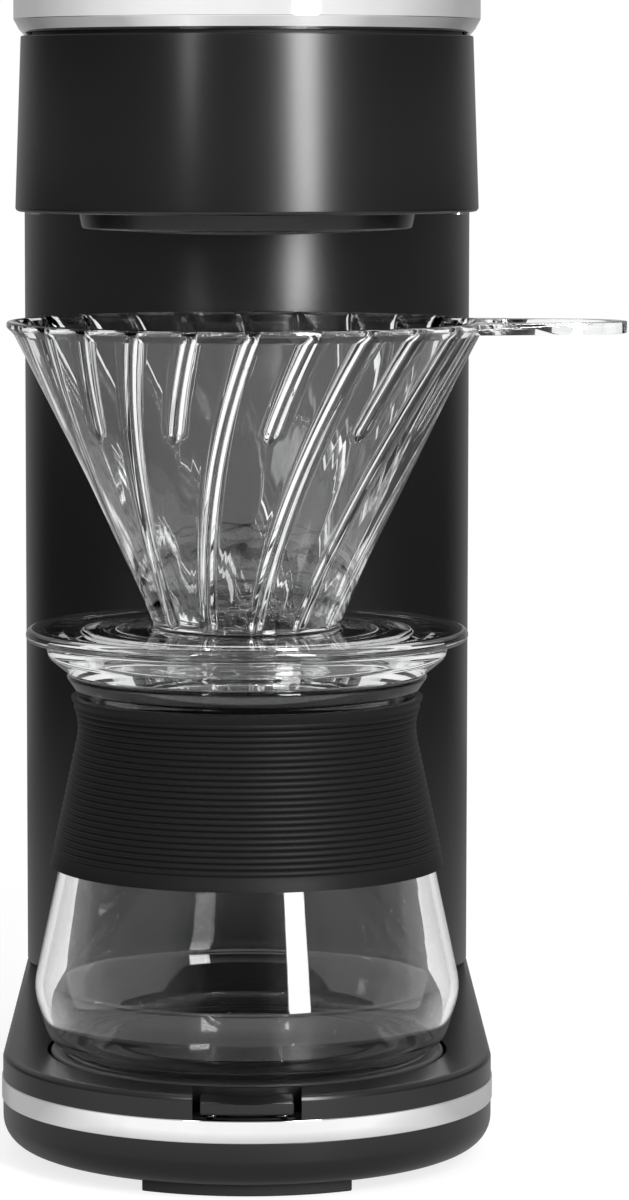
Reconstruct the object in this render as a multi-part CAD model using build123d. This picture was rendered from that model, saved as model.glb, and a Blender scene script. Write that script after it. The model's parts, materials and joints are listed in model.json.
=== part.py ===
from build123d import *
import math
import os

# Single-column electric pour-over coffee brewer, in millimetres.
# The origin is where the brewing axis meets the table. +X is to the user's right,
# +Y is away from the user and +Z is up.

os.makedirs("parts", exist_ok=True)

# ---------------------------------------------------------------- driving dimensions
column_y = 134.0            # brewing axis to column axis

base_top_z = 26.0
base_floor_z = 3.0          # underside of the lower shell
base_floor = 2.2            # thickness of the lower shell's floor
base_wall = 2.7
base_margin = 9.5           # hot plate's well to the outside of the base
base_bottom_round = 7.0
base_top_round = 1.6
top_skin = 2.2              # thickness of the base's top
skirt_wall = 2.2
band_bottom_z = 14.4
band_height = 5.5
band_proud = 0.3            # how far the bright band stands out of the base
band_wall = 1.4
band_clear = 0.1            # skirt behind the band to the band

foot_half_width = 25.2
foot_inset = 7.7            # front foot's curved edge inside the base's wall
foot_back_y = 40.0
foot_peg_radius = 3.0
foot_peg_clear = 0.1
rear_foot_radius = 9.0
rear_foot_x = 34.0
rear_foot_back = 24.0       # rear feet behind the column's axis

plate_radius = 48.9         # hot plate
plate_proud = 0.3           # its top above the base's
plate_sheet = 1.3
plate_edge_round = 1.1
plate_skirt = 5.5           # height of its rolled-down edge
plate_clear = 0.8           # plate to well, all round
well_wall = 1.5
ledge_reach = 4.9           # ledge's inner edge inside the plate's edge
ledge_thick = 1.6
ledge_gap = 0.2             # plate's skirt above the ledge

button_half_width = 11.2
button_proud = 0.7          # front lip in front of the base wall
button_drop = 1.4           # button's top below the base's top
button_thick = 3.3
button_travel = 1.2
dish_radius = 9.2           # round finger dish in the button
dish_depth = 1.0
notch_clear = 1.8           # side of the button to the side of its notch
stem_half_width = 4.0
stem_thick = 3.2
stem_inset = 4.9            # stem's front inside the base's wall
guide_clear = 0.1           # sliding clearance of the button's stem
spring_x = 8.5
spring_inset = 6.2

column_inset = 0.2          # column's wall inside the base's
column_wall = 2.2
brew_clearance = 26.9       # dripper's rim to the head's underside
head_height = 42.6
head_front_radius = 56.8    # at the head's bottom edge
head_overhang = 1.3         # head's rear around the column
head_draft = 1.5            # how far the top edge stands inside the bottom edge
head_wall = 2.2
head_round = 1.0

shower_top_radius = 41.4
shower_bottom_radius = 40.4
shower_drop = 4.2           # shower's mouth below the head
shower_wall = 2.4
shower_neck_radius = 38.9

lid_gap = 0.8               # dark line between the head and the lid
lid_overhang = 0.2          # lid's wall outside the head's bottom edge
lid_height = 8.8
lid_chamfer_out = 2.7
lid_chamfer_up = 3.2
lid_wall = 1.2
lid_rim_clear = 0.6         # lid's inner rim to the head's wall
hinge_back = 3.7            # hinge axis behind the head's rear
hinge_up = 0.6              # hinge axis above the head's top
hinge_barrel_radius = 2.8
hinge_pin_radius = 1.5
hinge_pin_clear = 0.05
knuckle_half_width = 8.5
ear_gap = 0.4
ear_width = 4.0

tank_radius = 46.0
tank_wall = 2.0
tank_bottom_z = 120.0
tank_below_head = 14.4      # tank's mouth below the head's top

tube_radius = 4.0           # riser and heater water tube, outside
tube_wall = 0.8
hose_wall = 1.5
hose_clear = 0.05
tube_x = 18.0               # the two legs of the water tube stand at plus and minus this
riser_front = 48.0          # riser in front of the column's axis
riser_run_up = 20.2         # riser's level run above the head's underside
inlet_front = 24.0          # tank's outlet in front of the column's axis
heater_z = 13.2

glass_wall = 1.8            # server
server_foot_radius = 41.5
server_belly_radius = 52.2
server_belly_up = 16.7
server_mouth_radius = 44.3
server_neck_radius = 38.4   # corner of the neck before rounding
server_neck_down = 10.7     # neck below the mouth
server_height = 94.4
sleeve_thick = 2.0
sleeve_clear = 0.15
sleeve_up = 45.5            # sleeve's lower edge above the server's foot
sleeve_rib_count = 24
sleeve_rib_height = 0.45

dripper_seat_gap = 0.3      # dripper's underside above the server's mouth
dripper_cone_height = 75.6  # saucer to rim
dripper_rim_radius = 59.0
dripper_cone_radius = 57.3  # outside of the cone just under its lip
dripper_lip = 1.4
dripper_wall = 2.2
dripper_saucer_radius = 54.6
dripper_saucer_up = 10.3    # saucer's top above the seat
dripper_saucer_thick = 3.0
dripper_waist_radius = 22.5  # outside of the cone where it meets the saucer
dripper_collar_radius = 35.0
dripper_collar_down = 3.5   # collar's lower edge below the seat
dripper_drain_radius = 9.5
dripper_rib_radius = 1.6
dripper_rib_pairs = 12
dripper_rib_twist = 30.0    # degrees that a long rib turns on its way down
handle_reach = 93.3
handle_thick = 2.8
handle_bar = 5.0

screw_radius = 1.5
screw_head_radius = 3.0
screw_head = 2.0
boss_radius = 4.0
post_radius = 5.0           # screw posts inside the column

# ---------------------------------------------------------------- derived places
floor_top_z = base_floor_z + base_floor
base_ceiling_z = base_top_z - top_skin
plate_top_z = base_top_z + plate_proud
plate_bottom_z = plate_top_z - plate_sheet
plate_skirt_z = plate_top_z - plate_skirt
ledge_inner_radius = plate_radius - ledge_reach
ledge_z = plate_skirt_z - ledge_gap - ledge_thick
well_radius = plate_radius + plate_clear    # hole in the base that the hot plate stands in
well_outer_radius = well_radius + well_wall
base_radius = well_outer_radius + base_margin   # both round ends of the base
band_top_z = band_bottom_z + band_height
skirt_outer_radius = base_radius + band_proud - band_wall - band_clear
skirt_inner_radius = skirt_outer_radius - skirt_wall
foot_front_radius = base_radius - foot_inset
rear_foot_y = column_y + rear_foot_back
button_top_z = base_top_z - button_drop
button_bottom_z = button_top_z - button_thick
notch_half_width = button_half_width + notch_clear
column_radius = base_radius - column_inset
column_inner_radius = column_radius - column_wall
server_belly_z = plate_top_z + server_belly_up
server_top_z = plate_top_z + server_height
server_neck_z = server_top_z - server_neck_down
sleeve_bottom_z = plate_top_z + sleeve_up
dripper_seat_z = server_top_z + dripper_seat_gap
dripper_collar_z = dripper_seat_z - dripper_collar_down
dripper_saucer_top_z = dripper_seat_z + dripper_saucer_up
dripper_rim_z = dripper_saucer_top_z + dripper_cone_height
head_bottom_z = dripper_rim_z + brew_clearance
head_top_z = head_bottom_z + head_height
head_rear_radius = column_radius + head_overhang
head_inner_front = head_front_radius - head_wall
head_inner_rear = head_rear_radius - head_wall
floor_plate_z = head_bottom_z + 0.8
floor_plate_thick = 2.4
floor_plate_top_z = floor_plate_z + floor_plate_thick
shower_bottom_z = head_bottom_z - shower_drop
lid_bottom_z = head_top_z + lid_gap
lid_top_z = lid_bottom_z + lid_height
lid_front_radius = head_front_radius + lid_overhang
lid_rear_radius = head_rear_radius + lid_overhang
hinge_y = column_y + head_rear_radius + hinge_back
hinge_z = head_top_z + hinge_up
tank_top_z = head_top_z - tank_below_head
deck_z = tank_top_z + 2.0
deck_thick = 2.0
hose_radius = tube_radius + hose_clear + hose_wall
riser_y = column_y - riser_front
riser_run_z = head_bottom_z + riser_run_up
inlet_y = column_y - inlet_front


# ---------------------------------------------------------------- shape helpers
def rod(radius, z0, z1, x=0.0, y=0.0):
    """Upright cylinder from z0 to z1."""
    low = (Align.CENTER, Align.CENTER, Align.MIN)
    return Pos(x, y, z0) * Cylinder(radius, z1 - z0, align=low)


def ring(outer, inner, z0, z1, x=0.0, y=0.0):
    """Upright tube from z0 to z1."""
    return rod(outer, z0, z1, x, y) - rod(inner, z0 - 1, z1 + 1, x, y)


def block(x0, x1, y0, y1, z0, z1):
    """Box between two corners."""
    low = (Align.MIN, Align.MIN, Align.MIN)
    return Pos(x0, y0, z0) * Box(x1 - x0, y1 - y0, z1 - z0, align=low)


def rod_x(radius, x0, x1, y, z):
    """Cylinder along X."""
    return Pos(x0, y, z) * Rot(0, 90, 0) * rod(radius, 0, x1 - x0)


def rod_y(radius, y0, y1, x, z):
    """Cylinder along Y."""
    return Pos(x, y0, z) * Rot(-90, 0, 0) * rod(radius, 0, y1 - y0)


def round_ended(near_radius, far_radius, length):
    """Flat outline of two circles and their outer tangents, running along +Y."""
    lean = math.asin((far_radius - near_radius) / length)
    near_x = near_radius * math.cos(lean)
    near_y = -near_radius * math.sin(lean)
    far_x = far_radius * math.cos(lean)
    far_y = length - far_radius * math.sin(lean)
    outline = Curve() + [
        ThreePointArc((-near_x, near_y), (0, -near_radius), (near_x, near_y)),
        Line((near_x, near_y), (far_x, far_y)),
        ThreePointArc((far_x, far_y), (0, length + far_radius), (-far_x, far_y)),
        Line((-far_x, far_y), (-near_x, near_y)),
    ]
    return make_face(outline)


def footprint(front_radius, rear_radius):
    """Outline around a front circle on the brewing axis and a rear one on the column."""
    return round_ended(front_radius, rear_radius, column_y)


def slab(front_radius, rear_radius, z0, z1, draft=0.0):
    """Upright solid on the footprint; draft is how far its top edge stands inside."""
    height = z1 - z0
    lean = math.degrees(math.atan2(draft, height))
    plan = footprint(front_radius, rear_radius)
    return Pos(0, 0, z0) * extrude(plan, amount=height, dir=(0, 0, 1), taper=lean)


def edges_at(shape, z):
    """Edges that lie wholly at height z."""
    found = []
    for edge in shape.edges():
        box = edge.bounding_box()
        if abs(box.min.Z - z) < 0.01 and abs(box.max.Z - z) < 0.01:
            found.append(edge)
    return found


def pipe(points, radius, bend):
    """Round bar along straight runs joined by tangent arcs."""
    path = FilletPolyline(*points, radius=bend)
    return sweep(Plane(origin=path @ 0, z_dir=path % 0) * Circle(radius), path=path)


def screw(x, y, head_z, tip_z):
    """Pan-head screw; its head lies beyond head_z, away from the tip."""
    up = tip_z > head_z
    far_z = head_z - screw_head if up else head_z + screw_head
    head = rod(screw_head_radius, min(head_z, far_z), max(head_z, far_z), x, y)
    shank = rod(screw_radius, min(head_z, tip_z), max(head_z, tip_z), x, y)
    socket = rod(1.3, far_z, far_z + 1.1, x, y) if up else rod(1.3, far_z - 1.1, far_z, x, y)
    return head + shank - socket


def holes(places, radius, z0, z1):
    """Round cutters at each place."""
    return [rod(radius, z0, z1, x, y) for x, y in places]


def write(name, shape):
    """One STEP file per node."""
    export_step(shape, f"parts/{name}.step")


# ---------------------------------------------------------------- screw places
base_screw_x = base_radius - 9.2
base_screw_places = [(x, y) for x in (-base_screw_x, base_screw_x) for y in (36.0, column_y - 16.0)]
post_offset = (column_inner_radius - post_radius + 0.9) * math.sqrt(0.5)
column_screw_places = [
    (x, column_y + y) for x in (-post_offset, post_offset) for y in (-post_offset, post_offset)
]
head_screw_places = [
    (side * (head_inner_front + (head_inner_rear - head_inner_front) * y / column_y - 3.4), y)
    for side in (-1, 1) for y in (22.0, column_y - 48.0)
]
heater_screw_x = plate_radius - 2.5
heater_screw_places = [(-heater_screw_x, 0.0), (heater_screw_x, 0.0)]


# ---------------------------------------------------------------- base
def base_top_shell():
    """Top skin, outer wall, skirt behind the band, hot-plate well and screw bosses."""
    outer = slab(base_radius, base_radius, band_top_z, base_top_z)
    outer = fillet(edges_at(outer, base_top_z), base_top_round)
    shell = outer + slab(skirt_outer_radius, skirt_outer_radius, band_bottom_z, band_top_z)
    shell -= slab(skirt_inner_radius, skirt_inner_radius, band_bottom_z, base_ceiling_z)
    shell += ring(well_outer_radius, ledge_inner_radius, ledge_z, base_top_z - 1)
    for x, y in base_screw_places:
        shell += rod(boss_radius, floor_top_z + 1.0, base_ceiling_z + 0.5, x, y)
    shell -= rod(well_radius, ledge_z + ledge_thick, base_top_z + 1)
    shell -= rod(ledge_inner_radius, band_bottom_z, base_top_z)
    shell -= holes(base_screw_places, screw_radius, floor_top_z, base_ceiling_z - 2)
    shell -= holes(column_screw_places, screw_radius + 0.2, base_ceiling_z - 1, base_top_z + 1)
    shell -= holes(heater_screw_places, screw_radius, ledge_z - 1, ledge_z + ledge_thick - 0.2)
    hose_way = hose_radius + 2.5
    shell -= block(
        -tube_x - hose_way, tube_x + hose_way,
        riser_y - hose_way, inlet_y + hose_way,
        base_ceiling_z - 1, base_top_z + 1,
    )
    shell -= rod(6.0, base_ceiling_z - 1, base_top_z + 1, 0, column_y + 38.0)
    notch = block(-notch_half_width, notch_half_width, -base_radius - 2, -40, band_top_z, base_top_z + 4)
    shell -= notch - rod(well_outer_radius, 0, 40)
    return shell


def base_band():
    """Bright band around the base between its two shells."""
    outer_radius = base_radius + band_proud
    outer = slab(outer_radius, outer_radius, band_bottom_z, band_top_z)
    rims = edges_at(outer, band_bottom_z) + edges_at(outer, band_top_z)
    outer = fillet(rims, 0.25)
    inner_radius = outer_radius - band_wall
    return outer - slab(inner_radius, inner_radius, band_bottom_z - 1, band_top_z + 1)


def base_lower_shell():
    """Tray with a deeply rounded bottom edge and holes for pegs and screws."""
    tray = slab(base_radius, base_radius, base_floor_z, band_bottom_z)
    tray = fillet(edges_at(tray, base_floor_z), base_bottom_round)
    inside_radius = base_radius - base_wall
    inside = slab(inside_radius, inside_radius, floor_top_z, band_bottom_z + 1)
    inside = fillet(edges_at(inside, floor_top_z), base_bottom_round - base_wall)
    tray -= inside
    tray -= holes(base_screw_places, screw_radius + 0.2, base_floor_z - 1, floor_top_z + 1)
    tray -= holes(base_screw_places, screw_head_radius + 0.3, base_floor_z - 1, base_floor_z + 1.0)
    tray -= holes(foot_peg_places(), foot_peg_radius + foot_peg_clear, base_floor_z - 1, floor_top_z + 1)
    tray -= holes(rear_foot_places(), foot_peg_radius + foot_peg_clear, base_floor_z - 1, floor_top_z + 1)
    for x, y in base_screw_places:
        tray += ring(boss_radius, screw_radius + 0.2, floor_top_z - 0.5, floor_top_z + 1.0, x, y)
    return tray


def foot_peg_places():
    return [(0.0, -35.0), (0.0, 25.0)]


def rear_foot_places():
    return [(-rear_foot_x, rear_foot_y), (rear_foot_x, rear_foot_y)]


def front_foot():
    """Broad foot under the brewing axis, with two pegs into the lower shell."""
    pad = rod(foot_front_radius, 0, base_floor_z)
    pad &= block(-foot_half_width, foot_half_width, -80, foot_back_y, -1, 10)
    for x, y in foot_peg_places():
        pad += rod(foot_peg_radius, base_floor_z - 1, floor_top_z, x, y)
    return pad


def rear_feet():
    """Two round feet under the column."""
    feet = []
    for x, y in rear_foot_places():
        pad = rod(rear_foot_radius, 0, base_floor_z, x, y)
        feet.append(pad + rod(foot_peg_radius, base_floor_z - 1, floor_top_z, x, y))
    return Compound(children=feet)


def base_screws():
    """Four screws up through the lower shell into the top shell's bosses."""
    tip_z = base_ceiling_z - 6
    return Compound(children=[screw(x, y, base_floor_z + 1.0, tip_z) for x, y in base_screw_places])


# ---------------------------------------------------------------- hot plate and heater
def hot_plate():
    """Pressed plate with a rounded edge and a short skirt down into the well."""
    plate = rod(plate_radius, plate_skirt_z, plate_top_z)
    plate = fillet(edges_at(plate, plate_top_z), plate_edge_round)
    return plate - rod(plate_radius - plate_sheet, plate_skirt_z - 1, plate_bottom_z)


def hot_plate_seal():
    """Silicone ring under the plate's skirt, on the well's ledge."""
    seal_top_z = plate_skirt_z
    return ring(well_radius - 0.1, plate_radius - 4.0, ledge_z + ledge_thick, seal_top_z) + ring(
        plate_radius - plate_sheet - 0.1, plate_radius - 4.0, seal_top_z - 0.1, seal_top_z + 1.5
    )


def horseshoe(half_width, back_y, z0, z1):
    """Solid with a round front about the heater's bend centre and straight sides."""
    bend_y = heater_bend_y()
    sides = block(-half_width, half_width, bend_y, back_y, z0, z1)
    return rod(half_width, z0, z1, 0, bend_y) + sides


def heater_bend_y():
    return -6.0


def heater_leg(x, back_y, radius):
    """Round bar bent to a U: two straight legs joined by a half circle at the front."""
    bend_y = heater_bend_y()
    first = Line((-x, back_y, heater_z), (-x, bend_y, heater_z))
    bend = CenterArc((0, bend_y, heater_z), x, 180, 180)
    last = Line((x, bend_y, heater_z), (x, back_y, heater_z))
    path = Wire([first.edge(), bend.edge(), last.edge()])
    return sweep(Plane(origin=(-x, back_y, heater_z), z_dir=(0, -1, 0)) * Circle(radius), path=path)


element_x = 28.0
element_radius = 3.3


def heater_body():
    """Cast aluminium horseshoe that holds the water tube and the heating rod."""
    outer = horseshoe(element_x + 7.0, 24.0, heater_z - 5, plate_bottom_z)
    inner = horseshoe(tube_x - 6.5, 40.0, heater_z - 6, plate_bottom_z + 1)
    body = outer - inner
    body -= heater_leg(tube_x, 60.0, tube_radius)
    body -= heater_leg(element_x, 60.0, element_radius)
    return body


def heater_water_tube():
    """Aluminium tube cast into the heater; both ends stand out for the hoses."""
    return heater_leg(tube_x, 56.0, tube_radius) - heater_leg(tube_x, 60.0, tube_radius - tube_wall)


def heater_element():
    """Sheathed heating rod with a thin terminal pin at each end."""
    rod_part = heater_leg(element_x, 50.0, element_radius)
    for x in (-element_x, element_x):
        rod_part += rod_y(1.0, 49.5, 56.0, x, heater_z)
    return rod_part


def heater_clamp():
    """Steel strap under the heater, screwed to the well's ledge."""
    under_z = heater_z - 5
    bar = block(-37.8, 37.8, -6, 6, under_z - 1.5, under_z)
    for side in (-1, 1):
        x0 = side * 36.3
        x1 = side * 37.8
        bar += block(min(x0, x1), max(x0, x1), -6, 6, under_z - 1.5, ledge_z)
        x2 = side * (plate_radius - 0.4)
        bar += block(min(x0, x2), max(x0, x2), -6, 6, ledge_z - 1.5, ledge_z)
    return bar - holes(heater_screw_places, screw_radius + 0.2, ledge_z - 3, ledge_z + 1)


def heater_screws():
    """Two screws up through the strap."""
    tip_z = ledge_z + ledge_thick - 0.3
    return Compound(children=[screw(x, y, ledge_z - 1.5, tip_z) for x, y in heater_screw_places])


def thermostat():
    """Snap-disc thermostat against the plate's underside, between the heater's legs."""
    can = rod(8.0, plate_bottom_z - 6, plate_bottom_z, 0, 12)
    can += rod(6.5, plate_bottom_z - 9, plate_bottom_z - 5.9, 0, 12)
    for x in (-3.2, 3.2):
        can += block(x - 2, x + 2, 11.6, 12.4, plate_bottom_z - 15, plate_bottom_z - 8.9)
    return can


def thermal_fuse():
    """One-shot thermal cut-out in a saddle against the plate's underside."""
    fuse = rod_y(2.0, 24, 36, 0, plate_bottom_z - 2.4)
    fuse += rod_y(0.6, 21.5, 39, 0, plate_bottom_z - 2.4)
    return fuse + block(-3, 3, 27, 33, plate_bottom_z - 2.4, plate_bottom_z)


# ---------------------------------------------------------------- power button
def front_sector(outer, inner, half_width, z0, z1):
    """Piece of an upright tube in front of the brewing axis."""
    return ring(outer, inner, z0, z1) & block(-half_width, half_width, -90, -30, z0 - 1, z1 + 1)


stem_front_y = stem_inset - base_radius
stem_back_y = stem_front_y + stem_thick
spring_y = spring_inset - base_radius
guide_bottom_z = 10.0
guide_top_z = band_top_z
stem_bottom_z = 13.4
spring_pocket_radius = 2.2


def power_button():
    """Tongue-shaped push button with a round finger dish and a guiding stem."""
    outer = base_radius + button_proud
    inner = well_outer_radius + 0.4
    tongue = front_sector(outer, inner, button_half_width, button_bottom_z, button_top_z)
    top_edges = [e for e in tongue.edges() if abs((e @ 0.5).Z - button_top_z) < 0.01]
    tongue = fillet(top_edges, 0.6)
    dish_y = -(outer + inner) / 2 + 0.2
    ball = (dish_radius ** 2 + dish_depth ** 2) / (2 * dish_depth)
    tongue -= Pos(0, dish_y, button_top_z - dish_depth + ball) * Sphere(ball)
    stem = block(
        -stem_half_width, stem_half_width, stem_front_y, stem_back_y,
        stem_bottom_z, button_bottom_z + 0.5,
    )
    tongue += stem
    pockets = [(-spring_x, spring_y), (spring_x, spring_y)]
    return tongue - holes(pockets, spring_pocket_radius, button_bottom_z - 1, button_bottom_z + 1.0)


def button_guide():
    """Dark tray under the button with a bore for its stem and two spring pockets."""
    tray = front_sector(skirt_inner_radius - 0.1, well_outer_radius + 0.1, 14.0,
                        guide_bottom_z, guide_top_z)
    tray -= block(
        -stem_half_width - guide_clear, stem_half_width + guide_clear,
        stem_front_y - guide_clear, stem_back_y + guide_clear,
        guide_bottom_z - 1, guide_top_z + 1,
    )
    pockets = [(-spring_x, spring_y), (spring_x, spring_y)]
    return tray - holes(pockets, spring_pocket_radius, guide_bottom_z + 3, guide_top_z + 1)


def button_springs():
    """Two coil springs that return the button."""
    wire = 0.25
    low_z = guide_bottom_z + 3 + wire
    high_z = button_bottom_z + 1.0 - wire
    coil_radius = spring_pocket_radius - 0.35 - wire
    coil = Helix(pitch=(high_z - low_z) / 6, height=high_z - low_z, radius=coil_radius)
    body = sweep(Plane(origin=coil @ 0, z_dir=coil % 0) * Circle(wire), path=coil)
    return Compound(children=[Pos(x, spring_y, low_z) * body for x in (-spring_x, spring_x)])


def power_switch():
    """Latching push switch under the button's stem."""
    case_top_z = guide_bottom_z - 0.2
    case_front_y = stem_back_y - 0.3
    case_back_y = case_front_y + 7.9
    case = block(-9, 9, case_front_y, case_back_y, floor_top_z, case_top_z)
    case += block(-6, 6, stem_front_y + 0.4, case_front_y + 0.1, floor_top_z + 2.2, case_top_z)
    plunger_y = (stem_front_y + stem_back_y) / 2
    plunger_top_z = stem_bottom_z - button_travel - 0.1
    case += block(-1.8, 1.8, plunger_y - 1.0, plunger_y + 1.0, case_top_z - 1, plunger_top_z)
    for x in (-6.0, 6.0):
        case += block(x - 1.5, x + 1.5, case_back_y - 0.1, case_back_y + 4.0,
                      floor_top_z + 1.5, floor_top_z + 2.1)
    return case


# ---------------------------------------------------------------- column
def column_shell():
    """Round column with screw posts at both ends and a hole for the gland."""
    shell = ring(column_radius, column_inner_radius, base_top_z, head_bottom_z, 0, column_y)
    inside = rod(column_inner_radius + 0.5, base_top_z, head_bottom_z, 0, column_y)
    for x, y in column_screw_places:
        shell += rod(post_radius, base_top_z, base_top_z + 20, x, y) & inside
        shell += rod(post_radius, head_bottom_z - 20, head_bottom_z, x, y) & inside
    shell -= holes(column_screw_places, screw_radius, base_top_z - 1, base_top_z + 12)
    shell -= holes(column_screw_places, screw_radius, head_bottom_z - 12, head_bottom_z + 1)
    return shell - rod_y(gland_neck_radius, column_y, column_y + column_radius + 5, 0, gland_z)


def column_screws():
    """Four screws up through the base's top into the column's lower posts."""
    tip_z = base_top_z + 9
    return Compound(
        children=[screw(x, y, base_ceiling_z, tip_z) for x, y in column_screw_places]
    )


def neck_screws():
    """Four screws down through the head's floor into the column's upper posts."""
    tip_z = head_bottom_z - 9
    return Compound(
        children=[screw(x, y, floor_plate_top_z, tip_z) for x, y in column_screw_places]
    )


gland_z = 42.0
gland_neck_radius = 5.6
cord_bore_radius = 3.3


def cord_gland():
    """Rubber strain relief for the supply cord, through the back of the column."""
    back_y = column_y + column_radius
    gland = rod_y(gland_neck_radius - 0.1, back_y - 7, back_y + 3, 0, gland_z)
    flange = rod_y(8.0, back_y - 2, back_y + 2.5, 0, gland_z)
    gland += flange - rod(column_radius + 0.05, gland_z - 12, gland_z + 12, 0, column_y)
    lock = rod_y(7.0, back_y - 6.5, back_y - 1.5, 0, gland_z)
    gland += lock & rod(column_inner_radius - 0.05, gland_z - 12, gland_z + 12, 0, column_y)
    tail = Pos(0, back_y + 2, gland_z) * Rot(-90, 0, 0) * Cone(
        5.5, 4.6, 12, align=(Align.CENTER, Align.CENTER, Align.MIN)
    )
    gland += tail
    return gland - rod_y(cord_bore_radius, back_y - 10, back_y + 20, 0, gland_z)


# ---------------------------------------------------------------- water path
def water_tank():
    """Round tank that hangs by its flange from the head's floor."""
    tank = rod(tank_radius, tank_bottom_z, tank_top_z, 0, column_y)
    flange = rod(
        tank_radius + 5, floor_plate_top_z, floor_plate_top_z + 2.4, 0, column_y
    )
    tank += flange - rod(tube_radius + 0.6, 200, 270, tube_x, riser_y)
    tank -= rod(tank_radius - tank_wall, tank_bottom_z + 2.5, tank_top_z + 1, 0, column_y)
    return tank - rod(4.0, tank_bottom_z - 1, tank_bottom_z + 4, -tube_x, inlet_y)


def tank_seal():
    """Silicone ring between the tank's rim and the head's deck."""
    return ring(tank_radius, tank_radius - 2.5, tank_top_z, deck_z, 0, column_y)


def tank_valve():
    """Outlet under the tank with a ball chamber and a hose nipple."""
    body = rod(8.0, tank_bottom_z - 14, tank_bottom_z, -tube_x, inlet_y)
    body += rod(tube_radius, tank_bottom_z - 26, tank_bottom_z - 13, -tube_x, inlet_y)
    body -= rod(2.0, tank_bottom_z - 27, tank_bottom_z, -tube_x, inlet_y)
    return body - rod(4.5, tank_bottom_z - 11, tank_bottom_z - 1.5, -tube_x, inlet_y)


def valve_ball():
    """Ball of the one-way valve, resting on its seat."""
    seat_z = tank_bottom_z - 11
    ball = 3.5
    return Pos(-tube_x, inlet_y, seat_z + math.sqrt(ball ** 2 - 2.0 ** 2)) * Sphere(ball)


def hose(points, bend):
    """Silicone hose: a tube that slips over the pipe ends it joins."""
    return pipe(points, hose_radius, bend) - pipe(points, tube_radius + hose_clear, bend)


hose_start_y = 48.0


def inlet_hose():
    """From the tank's valve down to the heater."""
    return hose(
        [(-tube_x, hose_start_y, heater_z), (-tube_x, inlet_y, heater_z),
         (-tube_x, inlet_y, tank_bottom_z - 16)], 16.0,
    )


def outlet_hose():
    """From the heater to the foot of the riser."""
    return hose(
        [(tube_x, hose_start_y, heater_z), (tube_x, riser_y, heater_z),
         (tube_x, riser_y, riser_foot_z + 12)], 16.0,
    )


riser_foot_z = 60.0
shower_inlet_z = 243.0


def riser_tube():
    """Steel tube up the column, forward through the head and down into the shower."""
    points = [
        (tube_x, riser_y, riser_foot_z), (tube_x, riser_y, riser_run_z),
        (0, 0, riser_run_z), (0, 0, shower_inlet_z - 4),
    ]
    return pipe(points, tube_radius, 9.5) - pipe(points, tube_radius - tube_wall, 9.5)


def hose_clips():
    """Spring bands on the four hose ends."""
    clip = hose_radius + 0.8
    bore = hose_radius + 0.02
    clips = []
    for x in (-tube_x, tube_x):
        clips.append(rod_y(clip, 50, 54, x, heater_z) - rod_y(bore, 49, 55, x, heater_z))
    clips.append(ring(clip, bore, tank_bottom_z - 22, tank_bottom_z - 18, -tube_x, inlet_y))
    clips.append(ring(clip, bore, riser_foot_z + 4, riser_foot_z + 8, tube_x, riser_y))
    return Compound(children=clips)


# ---------------------------------------------------------------- head
def head_shell():
    """Casing over the column and the brewing axis, open at its top and bottom."""
    shell = slab(head_front_radius, head_rear_radius, head_bottom_z, head_top_z, head_draft)
    shell = fillet(edges_at(shell, head_bottom_z), head_round)
    shell -= slab(head_inner_front, head_inner_rear, head_bottom_z, head_top_z, head_draft)
    top_front = head_inner_front - head_draft
    top_rear = head_inner_rear - head_draft
    ledge = slab(top_front + 1.6, top_rear + 1.6, deck_z - 3, deck_z)
    ledge -= slab(top_front - 3, top_rear - 3, deck_z - 4, deck_z + 1)
    shell += ledge
    solid_inside = slab(head_inner_front + 0.8, head_inner_rear + 0.8, floor_plate_z,
                        head_top_z, head_draft)
    for x, y in head_screw_places:
        shell += rod(boss_radius, floor_plate_top_z, floor_plate_top_z + 14, x, y) & solid_inside
    return shell - holes(head_screw_places, screw_radius, floor_plate_z, floor_plate_top_z + 10)


def head_floor():
    """Plate that closes the head's underside and carries the tank and the shower."""
    edge_clear = 0.25
    plate = slab(head_inner_front - edge_clear, head_inner_rear - edge_clear,
                 floor_plate_z, floor_plate_top_z)
    seat = ring(column_inner_radius + 1.0, column_inner_radius - 3.0,
                head_bottom_z, floor_plate_z, 0, column_y)
    plate += seat
    for x, y in column_screw_places:
        plate += rod(boss_radius, head_bottom_z, floor_plate_z + 1, x, y)
    plate -= rod(tank_radius + 0.3, 200, 260, 0, column_y)
    plate -= rod(shower_neck_radius + 0.2, 200, 260)
    plate -= rod(tube_radius + 0.6, 200, 260, tube_x, riser_y)
    plate -= holes(column_screw_places, screw_radius + 0.2, 200, 260)
    return plate - holes(head_screw_places, screw_radius + 0.2, 200, 260)


def head_screws():
    """Four screws up through the head's floor into the casing."""
    tip_z = floor_plate_top_z + 8
    return Compound(
        children=[screw(x, y, floor_plate_z, tip_z) for x, y in head_screw_places]
    )


def head_deck():
    """Plate under the lid with the filling hole; it covers the hot pipework."""
    top_front = head_inner_front - head_draft
    top_rear = head_inner_rear - head_draft
    deck = slab(top_front - 0.1, top_rear - 0.1, deck_z, deck_z + deck_thick)
    deck -= rod(tank_radius - 2.5, deck_z - 1, deck_z + 5, 0, column_y)
    return deck


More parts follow.
